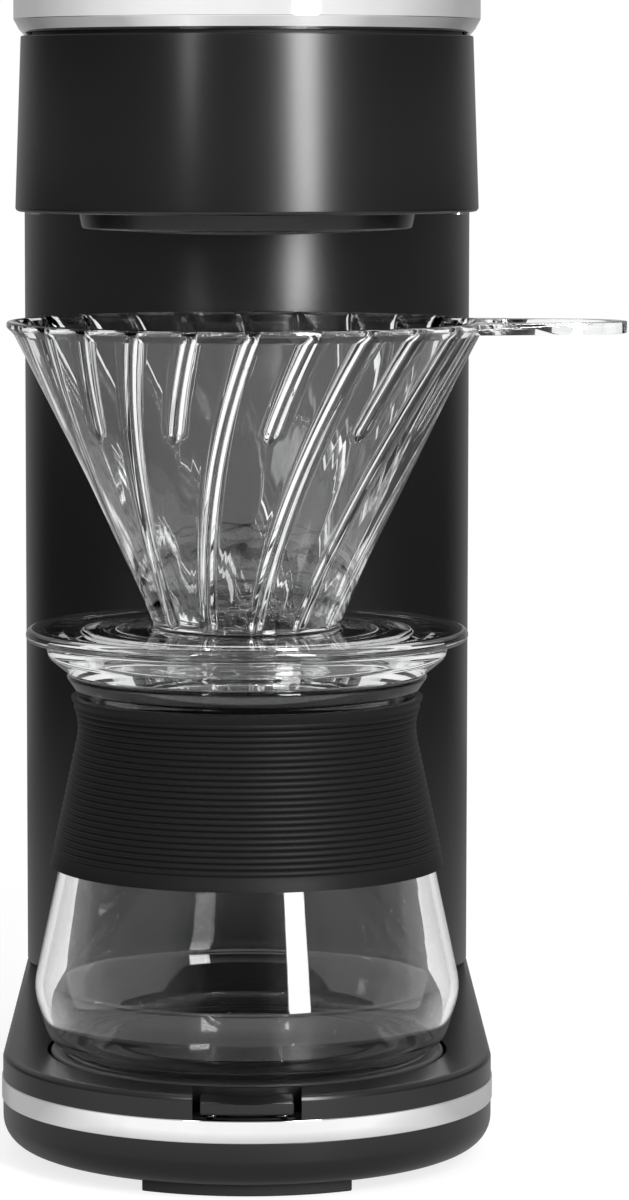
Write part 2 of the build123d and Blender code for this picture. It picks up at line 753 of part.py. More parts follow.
# ---------------------------------------------------------------- shower
def shower_housing():
    """Flared ring under the head, its neck up through the floor and a roofed chamber."""
    low = (Align.CENTER, Align.CENTER, Align.MIN)
    height = floor_plate_z - shower_bottom_z
    skirt = Pos(0, 0, shower_bottom_z) * Cone(
        shower_bottom_radius, shower_top_radius, height, align=low
    )
    housing = fillet(edges_at(skirt, shower_bottom_z), 0.8)
    housing += rod(shower_neck_radius, floor_plate_z - 0.5, shower_inlet_z)
    housing -= rod(shower_bottom_radius - shower_wall, shower_bottom_z - 1, floor_plate_z)
    housing -= rod(shower_neck_radius - shower_wall, floor_plate_z - 1, shower_inlet_z - 2)
    housing -= rod(tube_radius + 0.05, shower_inlet_z - 3, shower_inlet_z + 1)
    clips = ring(shower_neck_radius + 1.0, shower_neck_radius - 0.5,
                 floor_plate_top_z, floor_plate_top_z + 2)
    return housing + clips


def spray_plate():
    """Slightly domed plate with rings of spray holes, set in the shower's mouth."""
    plate_r = shower_bottom_radius - shower_wall - 0.05
    drop = 1.5
    ball = (plate_r ** 2 + drop ** 2) / (2 * drop)
    dome = Pos(0, 0, shower_bottom_z - drop + ball) * Sphere(ball)
    disc = rod(plate_r, shower_bottom_z - drop, shower_bottom_z + 1.6) & dome
    for ring_radius, count in ((0.0, 1), (9.0, 6), (18.0, 12)):
        for k in range(count):
            turn = 2 * math.pi * k / count
            x = ring_radius * math.cos(turn)
            y = ring_radius * math.sin(turn)
            disc -= rod(1.0, 200, 240, x, y)
    return disc


# ---------------------------------------------------------------- lid
def lid_skin():
    """Bright cap over the whole head, chamfered underneath."""
    cap = slab(lid_front_radius, lid_rear_radius, lid_bottom_z, lid_top_z)
    cap = chamfer(edges_at(cap, lid_bottom_z), lid_chamfer_out, lid_chamfer_up)
    cap = fillet(edges_at(cap, lid_top_z), 0.5)
    hollow_front = lid_front_radius - lid_chamfer_out - lid_wall
    hollow_rear = lid_rear_radius - lid_chamfer_out - lid_wall
    return cap - slab(hollow_front, hollow_rear, lid_bottom_z - 1, lid_top_z - lid_wall)


def lid_liner():
    """Inner tray of the lid; its rim drops into the head and rests above the deck."""
    rim_front = head_inner_front - head_draft - lid_rim_clear
    rim_rear = head_inner_rear - head_draft - lid_rim_clear
    rim_z = deck_z + deck_thick + 0.3
    roof_z = lid_top_z - lid_wall - 0.2
    tray = slab(rim_front, rim_rear, rim_z, roof_z)
    return tray - slab(rim_front - 2.0, rim_rear - 2.0, rim_z - 1, roof_z - 2.0)


def lid_hinge_arm():
    """Knuckle on the lid that turns on the hinge pin."""
    arm = rod_x(hinge_barrel_radius, -knuckle_half_width, knuckle_half_width, hinge_y, hinge_z)
    arm += block(-knuckle_half_width, knuckle_half_width, hinge_y - 6, hinge_y,
                 hinge_z + 0.4, hinge_z + hinge_barrel_radius)
    arm += block(-knuckle_half_width, knuckle_half_width, hinge_y - 6, hinge_y - 2.2,
                 hinge_z + 3.2 - lid_chamfer_up + 0.4, hinge_z + 7.0)
    arm -= slab(lid_front_radius + 0.02, lid_rear_radius + 0.02, lid_bottom_z - 10, lid_top_z + 1)
    return arm - rod_x(hinge_pin_radius + hinge_pin_clear, -20, 20, hinge_y, hinge_z)


def hinge_bracket():
    """Two ears on the head's rear wall that hold the hinge pin."""
    inner_x = knuckle_half_width + ear_gap
    outer_x = inner_x + ear_width
    bracket = block(-outer_x, outer_x, hinge_y - 8, hinge_y - 1.2, hinge_z - 16, hinge_z - 8)
    for side in (-1, 1):
        x0 = min(side * inner_x, side * outer_x)
        x1 = max(side * inner_x, side * outer_x)
        bracket += rod_x(hinge_barrel_radius, x0, x1, hinge_y, hinge_z)
        bracket += block(x0, x1, hinge_y - 8, hinge_y + 1.0, hinge_z - 12, hinge_z)
    wall_clear = 0.1
    bracket -= slab(head_front_radius + wall_clear, head_rear_radius + wall_clear,
                    head_bottom_z, head_top_z, head_draft)
    return bracket - rod_x(hinge_pin_radius, -20, 20, hinge_y, hinge_z)


def hinge_pin():
    """Steel pin through both ears and the lid's knuckle."""
    half = knuckle_half_width + ear_gap + ear_width
    return rod_x(hinge_pin_radius, -half, half, hinge_y, hinge_z)


# ---------------------------------------------------------------- wiring
terminal_y = column_y + 12.0


def terminal_block():
    """Plastic block on the base's floor where the cord meets the wires."""
    body = block(-16, 16, terminal_y - 6, terminal_y + 6, floor_top_z, floor_top_z + 10)
    for x in (-10.0, 0.0, 10.0):
        body -= rod(2.2, floor_top_z + 6, floor_top_z + 11, x, terminal_y)
    return body


def wiring():
    """Insulated wires from the gland to the terminals, the switch and the heater."""
    wire = 1.2
    low_z = floor_top_z + 1.4
    front_y = terminal_y - 6
    to_switch = pipe(
        [(-10, front_y, low_z), (-10, front_y - 14, low_z), (-42, 96, low_z),
         (-42, -14, low_z), (-20, -40, low_z), (-8, -40, low_z)], wire, 5.0,
    )
    to_heater = pipe(
        [(10, front_y, low_z), (10, front_y - 14, low_z), (element_x + 10, 100, low_z),
         (element_x + 10, 74, low_z), (element_x, 66, heater_z), (element_x, 56, heater_z)],
        wire, 4.0,
    )
    gland_inner_y = column_y + column_radius - 7
    from_gland = pipe(
        [(0, gland_inner_y, gland_z), (0, column_y + 38, gland_z),
         (0, column_y + 38, low_z + 2), (0, terminal_y + 6, low_z + 2)], wire, 8.0,
    )
    return Compound(children=[to_switch, to_heater, from_gland])


# ---------------------------------------------------------------- server
def server_corners(inset):
    """Corners of the server's wall before rounding, moved in by inset.

    The wall runs out along the foot, up to the belly, in to the neck and out to the mouth.
    """
    foot_z = plate_top_z
    corners = [
        Vector(20.0, foot_z),
        Vector(server_foot_radius + 6.8, foot_z),
        Vector(server_belly_radius + 0.9, server_belly_z - 1.5),
        Vector(server_neck_radius, server_neck_z),
        Vector(server_mouth_radius, server_top_z - 1.6),
    ]
    if inset == 0:
        return corners
    runs = []
    for a, b in zip(corners, corners[1:]):
        along = (b - a).normalized()
        inward = Vector(-along.Y, along.X)
        runs.append((a + inward * inset, along))
    moved = [runs[0][0]]
    for (a, u), (b, v) in zip(runs, runs[1:]):
        gap = b - a
        reach = (gap.X * v.Y - gap.Y * v.X) / (u.X * v.Y - u.Y * v.X)
        moved.append(a + u * reach)
    moved.append(corners[-1] + Vector(-runs[-1][1].Y, runs[-1][1].X) * inset)
    return moved


def wall_curve(inset):
    """The wall with its corners rounded; the roundings share their centres."""
    radii = [8.0 - inset, 14.0 - inset, 16.0 + inset]
    return FilletPolyline(*server_corners(inset), radius=radii)


def beside_wall(offset, z_low, z_high, count):
    """Even points beside the server's wall, between two heights."""
    wall = wall_curve(0.0)
    points = []
    for k in range(count):
        z = z_low + (z_high - z_low) * k / (count - 1)
        low = 0.0
        high = 1.0
        for _ in range(30):
            middle = (low + high) / 2
            if (wall @ middle).Y < z:
                low = middle
            else:
                high = middle
        slope = wall % low
        spot = wall @ low
        points.append(Vector(spot.X + offset * slope.Y, spot.Y - offset * slope.X))
    return points


def revolve_outline(edges):
    """Solid of revolution from a closed outline in the XZ plane, about the brewing axis."""
    face = Plane.XZ * make_face(edges)
    return revolve(face, axis=Axis.Z)


def server_body(inset):
    """Solid filling the server's wall up to its mouth, moved in by inset."""
    wall = wall_curve(inset)
    first = wall @ 0
    last = wall @ 1
    return revolve_outline(Curve() + [
        Line((0, first.Y), first), wall, Line(last, (0, last.Y)), Line((0, last.Y), (0, first.Y)),
    ])


def server_glass():
    """Blown glass server with a belly, a gentle neck and a flared mouth."""
    side = wall_curve(0.0)
    hollow = wall_curve(glass_wall)
    inside_z = (hollow @ 0).Y
    middle = ((side @ 1) + (hollow @ 1)) * 0.5
    return revolve_outline(Curve() + [
        Line((0, plate_top_z), side @ 0),
        side,
        ThreePointArc(side @ 1, middle + (side % 1) * (glass_wall / 2), hollow @ 1),
        hollow,
        Line(hollow @ 0, (0, inside_z)),
        Line((0, inside_z), (0, plate_top_z)),
    ])


def server_sleeve():
    """Ribbed silicone sleeve that insulates the neck and serves as the grip."""
    top_z = server_top_z - 5.0
    band_z = sleeve_bottom_z + 4.0
    ridge = beside_wall(sleeve_thick, band_z, top_z - 2.4, sleeve_rib_count + 1)
    low = beside_wall(sleeve_thick + 0.3, sleeve_bottom_z, band_z, 3)
    high = beside_wall(sleeve_thick, sleeve_bottom_z, top_z, 3)[-1]
    edges = [Line((0, low[0].Y), low[0]), Line(low[0], low[2]), Line(low[2], ridge[0])]
    for a, b in zip(ridge, ridge[1:]):
        out = Vector(b.Y - a.Y, a.X - b.X).normalized() * sleeve_rib_height
        edges.append(ThreePointArc(a, (a + b) * 0.5 + out, b))
    edges.append(ThreePointArc(ridge[-1], (ridge[-1] + high) * 0.5 + Vector(0.9, -0.2), high))
    edges.append(Line(high, (0, high.Y)))
    edges.append(Line((0, high.Y), (0, low[0].Y)))
    return revolve_outline(Curve() + edges) - server_body(-sleeve_clear)


# ---------------------------------------------------------------- dripper
def cone_radius(z):
    """Outside radius of the dripper's cone at height z."""
    top_z = dripper_rim_z - dripper_lip - 1.6
    share = (z - dripper_saucer_top_z) / (top_z - dripper_saucer_top_z)
    return dripper_waist_radius + share * (dripper_cone_radius - dripper_waist_radius)


def dripper_ribs():
    """Long and short ribs on the inside of the cone, all leaning the same way."""
    ribs = []
    short_share = 0.36
    for k in range(2 * dripper_rib_pairs):
        is_long = k % 2 == 0
        share = 1.0 if is_long else short_share
        low_z = dripper_rim_z + share * (dripper_saucer_top_z + 1.0 - dripper_rim_z)
        start = math.radians(1.7 + 180.0 * k / dripper_rib_pairs)
        end = start - math.radians(dripper_rib_twist) * share
        high_r = cone_radius(dripper_rim_z) - dripper_wall + 0.2
        low_r = cone_radius(low_z) - dripper_wall + 0.2
        high = Vector(high_r * math.cos(start), high_r * math.sin(start), dripper_rim_z)
        low = Vector(low_r * math.cos(end), low_r * math.sin(end), low_z)
        span = high - low
        stock = Plane(origin=low, z_dir=span) * rod(dripper_rib_radius, 0, span.length)
        tip = Pos(low.X, low.Y, low.Z) * Sphere(dripper_rib_radius)
        ribs.append(stock + tip)
    return ribs


def dripper_handle():
    """Flat finger loop at the rim, with an open middle."""
    top_z = dripper_rim_z
    low_z = top_z - handle_thick
    end_radius = 14.0
    end_x = handle_reach - end_radius
    root_x = 50.0
    open_x = 66.0
    outer = Pos(root_x, 0) * Rot(0, 0, -90) * round_ended(19.0, end_radius, end_x - root_x)
    inner = Pos(open_x, 0) * Rot(0, 0, -90) * round_ended(
        11.0, end_radius - handle_bar, end_x - open_x
    )
    loop = extrude(outer, amount=handle_thick, dir=(0, 0, 1))
    loop -= Pos(0, 0, -1) * extrude(inner, amount=handle_thick + 2, dir=(0, 0, 1))
    loop = Pos(0, 0, low_z) * loop
    return loop - rod(dripper_rim_radius - 1.0, low_z - 1, top_z + 1)


def dripper():
    """Clear cone dripper: ribbed cone, saucer, stepped underside, collar and handle."""
    saucer_low_z = dripper_saucer_top_z - dripper_saucer_thick
    lip_z = dripper_rim_z - dripper_lip
    drain_z = dripper_collar_z + 1.0
    cone_solid = revolve_outline(Polyline(
        (0, drain_z), (cone_radius(drain_z), drain_z),
        (cone_radius(lip_z - 1.6), lip_z - 1.6), (dripper_rim_radius, lip_z),
        (dripper_rim_radius, dripper_rim_z), (0, dripper_rim_z), close=True,
    ))
    inside_low_z = drain_z + 2.2
    inside = revolve_outline(Polyline(
        (0, inside_low_z), (cone_radius(inside_low_z) - dripper_wall, inside_low_z),
        (cone_radius(dripper_rim_z) - dripper_wall, dripper_rim_z + 0.01),
        (0, dripper_rim_z + 0.01), close=True,
    ))
    ribs = [rib & cone_solid for rib in dripper_ribs()]
    saucer = rod(dripper_saucer_radius, saucer_low_z, dripper_saucer_top_z)
    rims = edges_at(saucer, saucer_low_z) + edges_at(saucer, dripper_saucer_top_z)
    saucer = fillet(rims, dripper_saucer_thick / 2 - 0.1)
    tier = revolve_outline(Curve() + [
        Line((40.5, dripper_seat_z), (server_mouth_radius + 0.7, dripper_seat_z)),
        ThreePointArc((server_mouth_radius + 0.7, dripper_seat_z),
                      (server_mouth_radius + 4.3, dripper_seat_z + 3.2),
                      (50.0, saucer_low_z + 0.5)),
        Line((50.0, saucer_low_z + 0.5), (40.5, saucer_low_z + 0.5)),
        Line((40.5, saucer_low_z + 0.5), (40.5, dripper_seat_z)),
    ])
    collar = ring(dripper_collar_radius, dripper_collar_radius - 2.4,
                  dripper_collar_z, saucer_low_z + 0.5)
    body = cone_solid - inside + saucer.cut(inside) + tier + collar + ribs + dripper_handle()
    return body - rod(dripper_drain_radius, drain_z - 1, inside_low_z + 1)


# ---------------------------------------------------------------- write every node
write("base_top_shell", base_top_shell())
write("base_band", base_band())
write("base_lower_shell", base_lower_shell())
write("front_foot", front_foot())
write("rear_feet", rear_feet())
write("base_screws", base_screws())
write("hot_plate", hot_plate())
write("hot_plate_seal", hot_plate_seal())
write("heater_body", heater_body())
write("heater_water_tube", heater_water_tube())
write("heater_element", heater_element())
write("heater_clamp", heater_clamp())
write("heater_screws", heater_screws())
write("thermostat", thermostat())
write("thermal_fuse", thermal_fuse())
write("power_button", power_button())
write("button_guide", button_guide())
write("button_springs", button_springs())
write("power_switch", power_switch())
write("column_shell", column_shell())
write("column_screws", column_screws())
write("neck_screws", neck_screws())
write("cord_gland", cord_gland())
write("water_tank", water_tank())
write("tank_seal", tank_seal())
write("tank_valve", tank_valve())
write("valve_ball", valve_ball())
write("inlet_hose", inlet_hose())
write("outlet_hose", outlet_hose())
write("riser_tube", riser_tube())
write("hose_clips", hose_clips())
write("head_shell", head_shell())
write("head_floor", head_floor())
write("head_screws", head_screws())
write("head_deck", head_deck())
write("shower_housing", shower_housing())
write("spray_plate", spray_plate())
write("lid_skin", lid_skin())
write("lid_liner", lid_liner())
write("lid_hinge_arm", lid_hinge_arm())
write("hinge_bracket", hinge_bracket())
write("hinge_pin", hinge_pin())
write("terminal_block", terminal_block())
write("wiring", wiring())
write("server_glass", server_glass())
write("server_sleeve", server_sleeve())
write("dripper", dripper())
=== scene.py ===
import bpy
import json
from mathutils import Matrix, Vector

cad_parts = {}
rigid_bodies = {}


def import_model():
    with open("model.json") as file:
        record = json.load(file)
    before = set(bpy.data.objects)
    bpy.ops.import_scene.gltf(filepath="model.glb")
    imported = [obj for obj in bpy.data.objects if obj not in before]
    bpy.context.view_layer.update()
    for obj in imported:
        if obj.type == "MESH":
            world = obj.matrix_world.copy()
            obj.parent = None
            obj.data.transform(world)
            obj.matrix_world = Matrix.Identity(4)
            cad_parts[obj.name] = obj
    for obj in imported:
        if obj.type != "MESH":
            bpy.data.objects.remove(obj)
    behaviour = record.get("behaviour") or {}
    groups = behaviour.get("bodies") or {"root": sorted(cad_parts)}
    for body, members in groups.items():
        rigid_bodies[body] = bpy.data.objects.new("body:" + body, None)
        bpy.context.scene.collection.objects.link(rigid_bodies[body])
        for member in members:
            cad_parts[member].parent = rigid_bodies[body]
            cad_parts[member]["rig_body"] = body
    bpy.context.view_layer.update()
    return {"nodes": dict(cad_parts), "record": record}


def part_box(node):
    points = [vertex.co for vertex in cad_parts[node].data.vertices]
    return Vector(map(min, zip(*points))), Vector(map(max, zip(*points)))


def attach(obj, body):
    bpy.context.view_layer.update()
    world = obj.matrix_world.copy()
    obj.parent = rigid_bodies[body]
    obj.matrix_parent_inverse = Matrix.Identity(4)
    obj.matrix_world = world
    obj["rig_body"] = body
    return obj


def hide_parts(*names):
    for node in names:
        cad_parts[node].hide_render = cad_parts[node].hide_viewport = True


bl_info = {
    "name": "Pour-over coffee brewer",
    "version": (1, 0, 0),
    "blender": (4, 5, 0),
    "location": "3D View > Sidebar > Brewer",
    "description": "Finished pieces, materials and studio for a single-column coffee brewer",
    "category": "Object",
}

import json
import math
from functools import cache

import bmesh
import bpy
from bpy.props import FloatProperty, FloatVectorProperty, IntProperty, PointerProperty
from mathutils import Vector

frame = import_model()

# Lengths are in metres. The brewing axis is the Z axis; +Y runs back to the column.
MM = 0.001
MERGE = 1e-7                        # vertices nearer than this are one
ROUND_STEPS = 256                   # steps round a full turn
ARC_STEP = math.radians(9)          # turn of one step in a rounded corner
EASE_STEPS = 4                      # steps across an eased edge
FLAT_WEIGHT = 90                    # how strongly flat faces keep their own shading
PAST = 1.0 * MM                     # how far a cutter runs past what it cuts
SKIN_REACH = 2.0 * MM               # how far a flat face is drawn past its rounded edge

slot_of = {part["node"]: part["material_slot"] for part in frame["record"]["subparts"]}


# ---------------------------------------------------------------- places from the frame
def low(node):
    """Lowest corner of a node."""
    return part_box(node)[0]


def high(node):
    """Highest corner of a node."""
    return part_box(node)[1]


COLUMN_RADIUS = high("column_shell").x
COLUMN_Y = low("column_shell").y + COLUMN_RADIUS
HEAD_FRONT = -low("head_shell").y
HEAD_REAR = high("head_shell").y - COLUMN_Y
LID_FRONT = -low("lid_skin").y
LID_REAR = high("lid_skin").y - COLUMN_Y
BASE_RADIUS = -low("base_lower_shell").y
BASE_TOP = high("base_top_shell").z
BAND_LOW = low("base_band").z
BAND_HIGH = high("base_band").z
PLATE_TOP = high("hot_plate").z
SERVER_FOOT = low("server_glass").z
SERVER_TOP = high("server_glass").z
RIM_TOP = high("dripper").z
RIM_RADIUS = -low("dripper").x
HANDLE_REACH = high("dripper").x


# ---------------------------------------------------------------- mesh helpers
def round_path(corners, closed=True):
    """Points through corners (x, z, radius), each turned with an arc of its radius."""
    points = []
    last = len(corners) - 1
    for k, (x, z, radius) in enumerate(corners):
        corner = Vector((x, z))
        if radius == 0 or (not closed and k in (0, last)):
            points.append(corner)
            continue
        back = (Vector(corners[k - 1][:2]) - corner).normalized()
        onward = (Vector(corners[(k + 1) % (last + 1)][:2]) - corner).normalized()
        half = back.angle(onward) / 2
        centre = corner + (back + onward).normalized() * (radius / math.sin(half))
        reach = radius / math.tan(half)
        first = (corner + back * reach - centre).normalized()
        final = (corner + onward * reach - centre).normalized()
        steps = max(2, math.ceil((math.pi - 2 * half) / ARC_STEP))
        for i in range(steps + 1):
            points.append(centre + radius * first.slerp(final, i / steps))
    return points


def beside(path, distance):
    """The path moved sideways by distance, to its left."""
    moved = []
    for k, point in enumerate(path):
        before = path[max(k - 1, 0)]
        after = path[min(k + 1, len(path) - 1)]
        along = (after - before).normalized()
        moved.append(point + Vector((-along.y, along.x)) * distance)
    return moved


def at_height(path, z):
    """Where a path that only rises is at height z."""
    for a, b in zip(path, path[1:]):
        if a.y <= z <= b.y and b.y > a.y:
            return a.lerp(b, (z - a.y) / (b.y - a.y))
    raise ValueError(f"the path does not reach height {z}")


def arc(centre_x, centre_y, radius, start, turn, steps):
    """Points (x, y) along an arc that begins at the angle start."""
    points = []
    for k in range(steps + 1):
        angle = start + turn * k / steps
        points.append((centre_x + radius * math.cos(angle), centre_y + radius * math.sin(angle)))
    return points


def front_arc(radius, half_width, steps, way=1):
    """Arc in front of the brewing axis as wide as twice half_width; way -1 runs it backwards."""
    reach = way * math.asin(half_width / radius)
    return arc(0.0, 0.0, radius, -math.pi / 2 - reach, 2 * reach, steps)


def circle_stations(centre_y=0.0, steps=ROUND_STEPS):
    """Stations round an upright axis: centre, radius and turn of each."""
    return [(centre_y, 0.0, 2 * math.pi * k / steps) for k in range(steps)]


def footprint_stations(front_radius, rear_radius):
    """Stations round the brewer's outline: a front circle, a rear one and straight sides."""
    lean = math.asin((rear_radius - front_radius) / COLUMN_Y)
    half = ROUND_STEPS // 2
    rear_turn = (math.pi + 2 * lean) / half
    front_turn = (math.pi - 2 * lean) / half
    rear = [(COLUMN_Y, rear_radius, k * rear_turn - lean) for k in range(half + 1)]
    front = [(0.0, front_radius, math.pi + lean + k * front_turn) for k in range(half + 1)]
    return rear + front


def new_piece(name, mesh, sharp=30.0):
    """Object made from a finished bmesh, smooth except over edges sharper than sharp."""
    bmesh.ops.remove_doubles(mesh, verts=mesh.verts, dist=MERGE)
    loose = [edge for edge in mesh.edges if not edge.link_faces]
    bmesh.ops.delete(mesh, geom=loose, context="EDGES")
    bmesh.ops.recalc_face_normals(mesh, faces=mesh.faces)
    data = bpy.data.meshes.new(name)
    mesh.to_mesh(data)
    mesh.free()
    piece = bpy.data.objects.new(name, data)
    bpy.context.scene.collection.objects.link(piece)
    shade(piece, sharp)
    return piece


def shade(piece, sharp):
    """Smooth shading with hard edges where faces meet at more than sharp degrees."""
    piece.data.shade_smooth()
    piece.data.set_sharp_from_angle(angle=math.radians(sharp))


def join_rings(mesh, rings, capped):
    """Faces between rings of vertices; capped closes both ends, or else the last meets the first."""
    pairs = list(zip(rings, rings[1:]))
    if capped:
        mesh.faces.new(rings[0])
        mesh.faces.new(rings[-1])
    else:
        pairs.append((rings[-1], rings[0]))
    for near, far in pairs:
        for a in range(len(near)):
            b = (a + 1) % len(near)
            mesh.faces.new((near[a], near[b], far[b], far[a]))


def sweep(name, outline, stations, capped=False, sharp=30.0):
    """An outline of (offset outwards, height) carried round the stations."""
    mesh = bmesh.new()
    rings = []
    for offset, z in outline:
        ring = []
        for centre_y, radius, turn in stations:
            reach = radius + offset
            spot = (reach * math.cos(turn), centre_y + reach * math.sin(turn), z)
            ring.append(mesh.verts.new(spot))
        rings.append(ring)
    join_rings(mesh, rings, capped)
    return new_piece(name, mesh, sharp)


def prism(name, outline, z0, z1, edge_round=0.0):
    """Upright solid on a flat outline of (x, y), its edges eased by edge_round."""
    mesh = bmesh.new()
    rings = [[mesh.verts.new((x, y, z)) for x, y in outline] for z in (z0, z1)]
    join_rings(mesh, rings, capped=True)
    piece = new_piece(name, mesh)
    if edge_round > 0:
        ease_edges(piece, edge_round, 50.0)
    return piece


def ease_edges(piece, width, least_angle):
    """Rounds the edges where faces meet at more than least_angle degrees."""
    ease = piece.modifiers.new("ease", "BEVEL")
    ease.width = width
    ease.segments = EASE_STEPS
    ease.limit_method = "ANGLE"
    ease.angle_limit = math.radians(least_angle)
    settle(piece)


def block(name, corner, far_corner):
    """Box between two corners."""
    outline = [
        (corner[0], corner[1]), (far_corner[0], corner[1]),
        (far_corner[0], far_corner[1]), (corner[0], far_corner[1]),
    ]
    return prism(name, outline, corner[2], far_corner[2])


def settle(piece):
    """Makes the result of the piece's modifiers its own mesh."""
    depsgraph = bpy.context.evaluated_depsgraph_get()
    result = bpy.data.meshes.new_from_object(piece.evaluated_get(depsgraph))
    if not result.polygons:
        raise RuntimeError(f"{piece.name} has no faces left")
    piece.modifiers.clear()
    before = piece.data
    piece.data = result
    result.name = piece.name
    bpy.data.meshes.remove(before)


def carve(piece, cutter, how="DIFFERENCE", sharp=30.0):
    """Takes the cutter out of the piece, or joins it on, and removes the cutter."""
    cut = piece.modifiers.new("cut", "BOOLEAN")
    cut.operation = how
    cut.solver = "MANIFOLD"
    cut.object = cutter
    settle(piece)
    spare = cutter.data
    bpy.data.objects.remove(cutter)
    bpy.data.meshes.remove(spare)
    shade(piece, sharp)


def even_flats(piece):
    """Keeps broad flat faces flat in the shading beside their rounded edges."""
    weigh = piece.modifiers.new("even_flats", "WEIGHTED_NORMAL")
    weigh.keep_sharp = True
    weigh.weight = FLAT_WEIGHT


def rod(name, radius, z0, z1):
    """Upright cylinder on the brewing axis."""
    return sweep(name, [(radius, z0), (radius, z1)], circle_stations(), capped=True)


def tube(name, outer, inner, z0, z1, centre_y=0.0, edge_round=0.0):
    """Upright tube with eased edges."""
    outline = [(outer, z0, edge_round), (outer, z1, edge_round), (inner, z1, edge_round),
               (inner, z0, edge_round)]
    return sweep(name, round_path(outline), circle_stations(centre_y))


# ---------------------------------------------------------------- effects
def new_group(name, inputs, output):
    """Empty node group with named float inputs and one float output."""
    tree = bpy.data.node_groups.new(name, "ShaderNodeTree")
    for label, value in inputs:
        socket = tree.interface.new_socket(label, in_out="INPUT", socket_type="NodeSocketFloat")
        socket.default_value = value
    tree.interface.new_socket(output, in_out="OUTPUT", socket_type="NodeSocketFloat")
    enter = tree.nodes.new("NodeGroupInput")
    leave = tree.nodes.new("NodeGroupOutput")
    return tree, enter, leave


def maths(tree, operation, first, second):
    """Math node; each operand is a socket or a number."""
    node = tree.nodes.new("ShaderNodeMath")
    node.operation = operation
    for socket, operand in zip(node.inputs, (first, second)):
        if isinstance(operand, bpy.types.NodeSocket):
            tree.links.new(operand, socket)
        else:
            socket.default_value = operand
    return node.outputs["Value"]


def noise(tree, scale, detail):
    """Noise over the piece's own coordinates; scale is a socket or a number."""
    place = tree.nodes.new("ShaderNodeTexCoord")
    field = tree.nodes.new("ShaderNodeTexNoise")
    field.inputs["Detail"].default_value = detail
    tree.links.new(place.outputs["Object"], field.inputs["Vector"])
    if isinstance(scale, bpy.types.NodeSocket):
        tree.links.new(scale, field.inputs["Scale"])
    else:
        field.inputs["Scale"].default_value = scale
    return field.outputs["Fac"]


def spread_of(tree, value, low_in, high_in, low_out, high_out):
    """Map Range node between plain numbers."""
    node = tree.nodes.new("ShaderNodeMapRange")
    for socket, number in zip(node.inputs[1:5], (low_in, high_in, low_out, high_out)):
        socket.default_value = number
    tree.links.new(value, node.inputs["Value"])
    return node.outputs["Result"]


@cache
def moulded_grain():
    """Fine grain that a mould leaves on plastic and rubber."""
    inputs = [("Scale", 2500.0), ("Coarse Share", 0.3)]
    tree, enter, leave = new_group("moulded_grain", inputs, "Height")
    fine = noise(tree, enter.outputs["Scale"], 2.0)
    broad_scale = maths(tree, "MULTIPLY", enter.outputs["Scale"], 0.3)
    broad = noise(tree, broad_scale, 1.0)
    share = maths(tree, "MULTIPLY", broad, enter.outputs["Coarse Share"])
    total = maths(tree, "ADD", fine, share)
    tree.links.new(total, leave.inputs["Height"])
    return tree


@cache
def handling_marks():
    """Slow change of roughness where hands and cloths have been."""
    inputs = [("Roughness", 0.4), ("Spread", 0.05), ("Scale", 30.0)]
    tree, enter, leave = new_group("handling_marks", inputs, "Roughness")
    field = noise(tree, enter.outputs["Scale"], 4.0)
    centred = maths(tree, "SUBTRACT", field, 0.5)
    change = maths(tree, "MULTIPLY", centred, enter.outputs["Spread"])
    total = maths(tree, "ADD", enter.outputs["Roughness"], change)
    tree.links.new(total, leave.inputs["Roughness"])
    return tree


@cache
def settled_dust():
    """Mask of fine dust on faces that look upwards."""
    tree, enter, leave = new_group("settled_dust", [("Amount", 0.1)], "Mask")
    place = tree.nodes.new("ShaderNodeTexCoord")
    split = tree.nodes.new("ShaderNodeSeparateXYZ")
    tree.links.new(place.outputs["Normal"], split.inputs["Vector"])
    upward = spread_of(tree, split.outputs["Z"], 0.7, 1.0, 0.0, 1.0)
    specks = spread_of(tree, noise(tree, 1400.0, 3.0), 0.52, 0.75, 0.0, 1.0)
    drift = spread_of(tree, noise(tree, 25.0, 2.0), 0.3, 0.7, 0.2, 1.0)
    mask = maths(tree, "MULTIPLY", maths(tree, "MULTIPLY", upward, specks), drift)
    mask = maths(tree, "MULTIPLY", mask, enter.outputs["Amount"])
    tree.links.new(mask, leave.inputs["Mask"])
    return tree


def place_group(tree, group, **values):
    """The group as a node in a material, with its own values."""
    node = tree.nodes.new("ShaderNodeGroup")
    node.node_tree = group
    for label, value in values.items():
        node.inputs[label.replace("_", " ").title()].default_value = value
    return node


# ---------------------------------------------------------------- finishes
def shader_of(name, **values):
    """New material with one Principled shader; values are its plain socket values."""
    made = bpy.data.materials.new(name)
    made.use_nodes = True
    shader = made.node_tree.nodes["Principled BSDF"]
    for label, value in values.items():
        shader.inputs[label.replace("_", " ")].default_value = value
    return made, shader


def add_bump(tree, shader, height, strength, distance):
    """Bump node from a height to the shader's Normal."""
    bump = tree.nodes.new("ShaderNodeBump")
    bump.inputs["Strength"].default_value = strength
    bump.inputs["Distance"].default_value = distance
    tree.links.new(height, bump.inputs["Height"])
    tree.links.new(bump.outputs["Normal"], shader.inputs["Normal"])


def mix_colour(tree, factor, first, second):
    """Colour between two plain colours."""
    node = tree.nodes.new("ShaderNodeMix")
    node.data_type = "RGBA"
    for socket in node.inputs:
        if socket.name in ("A", "B") and socket.type == "RGBA":
            socket.default_value = (*(first if socket.name == "A" else second), 1.0)
    tree.links.new(factor, node.inputs["Factor"])
    return next(out for out in node.outputs if out.type == "RGBA")


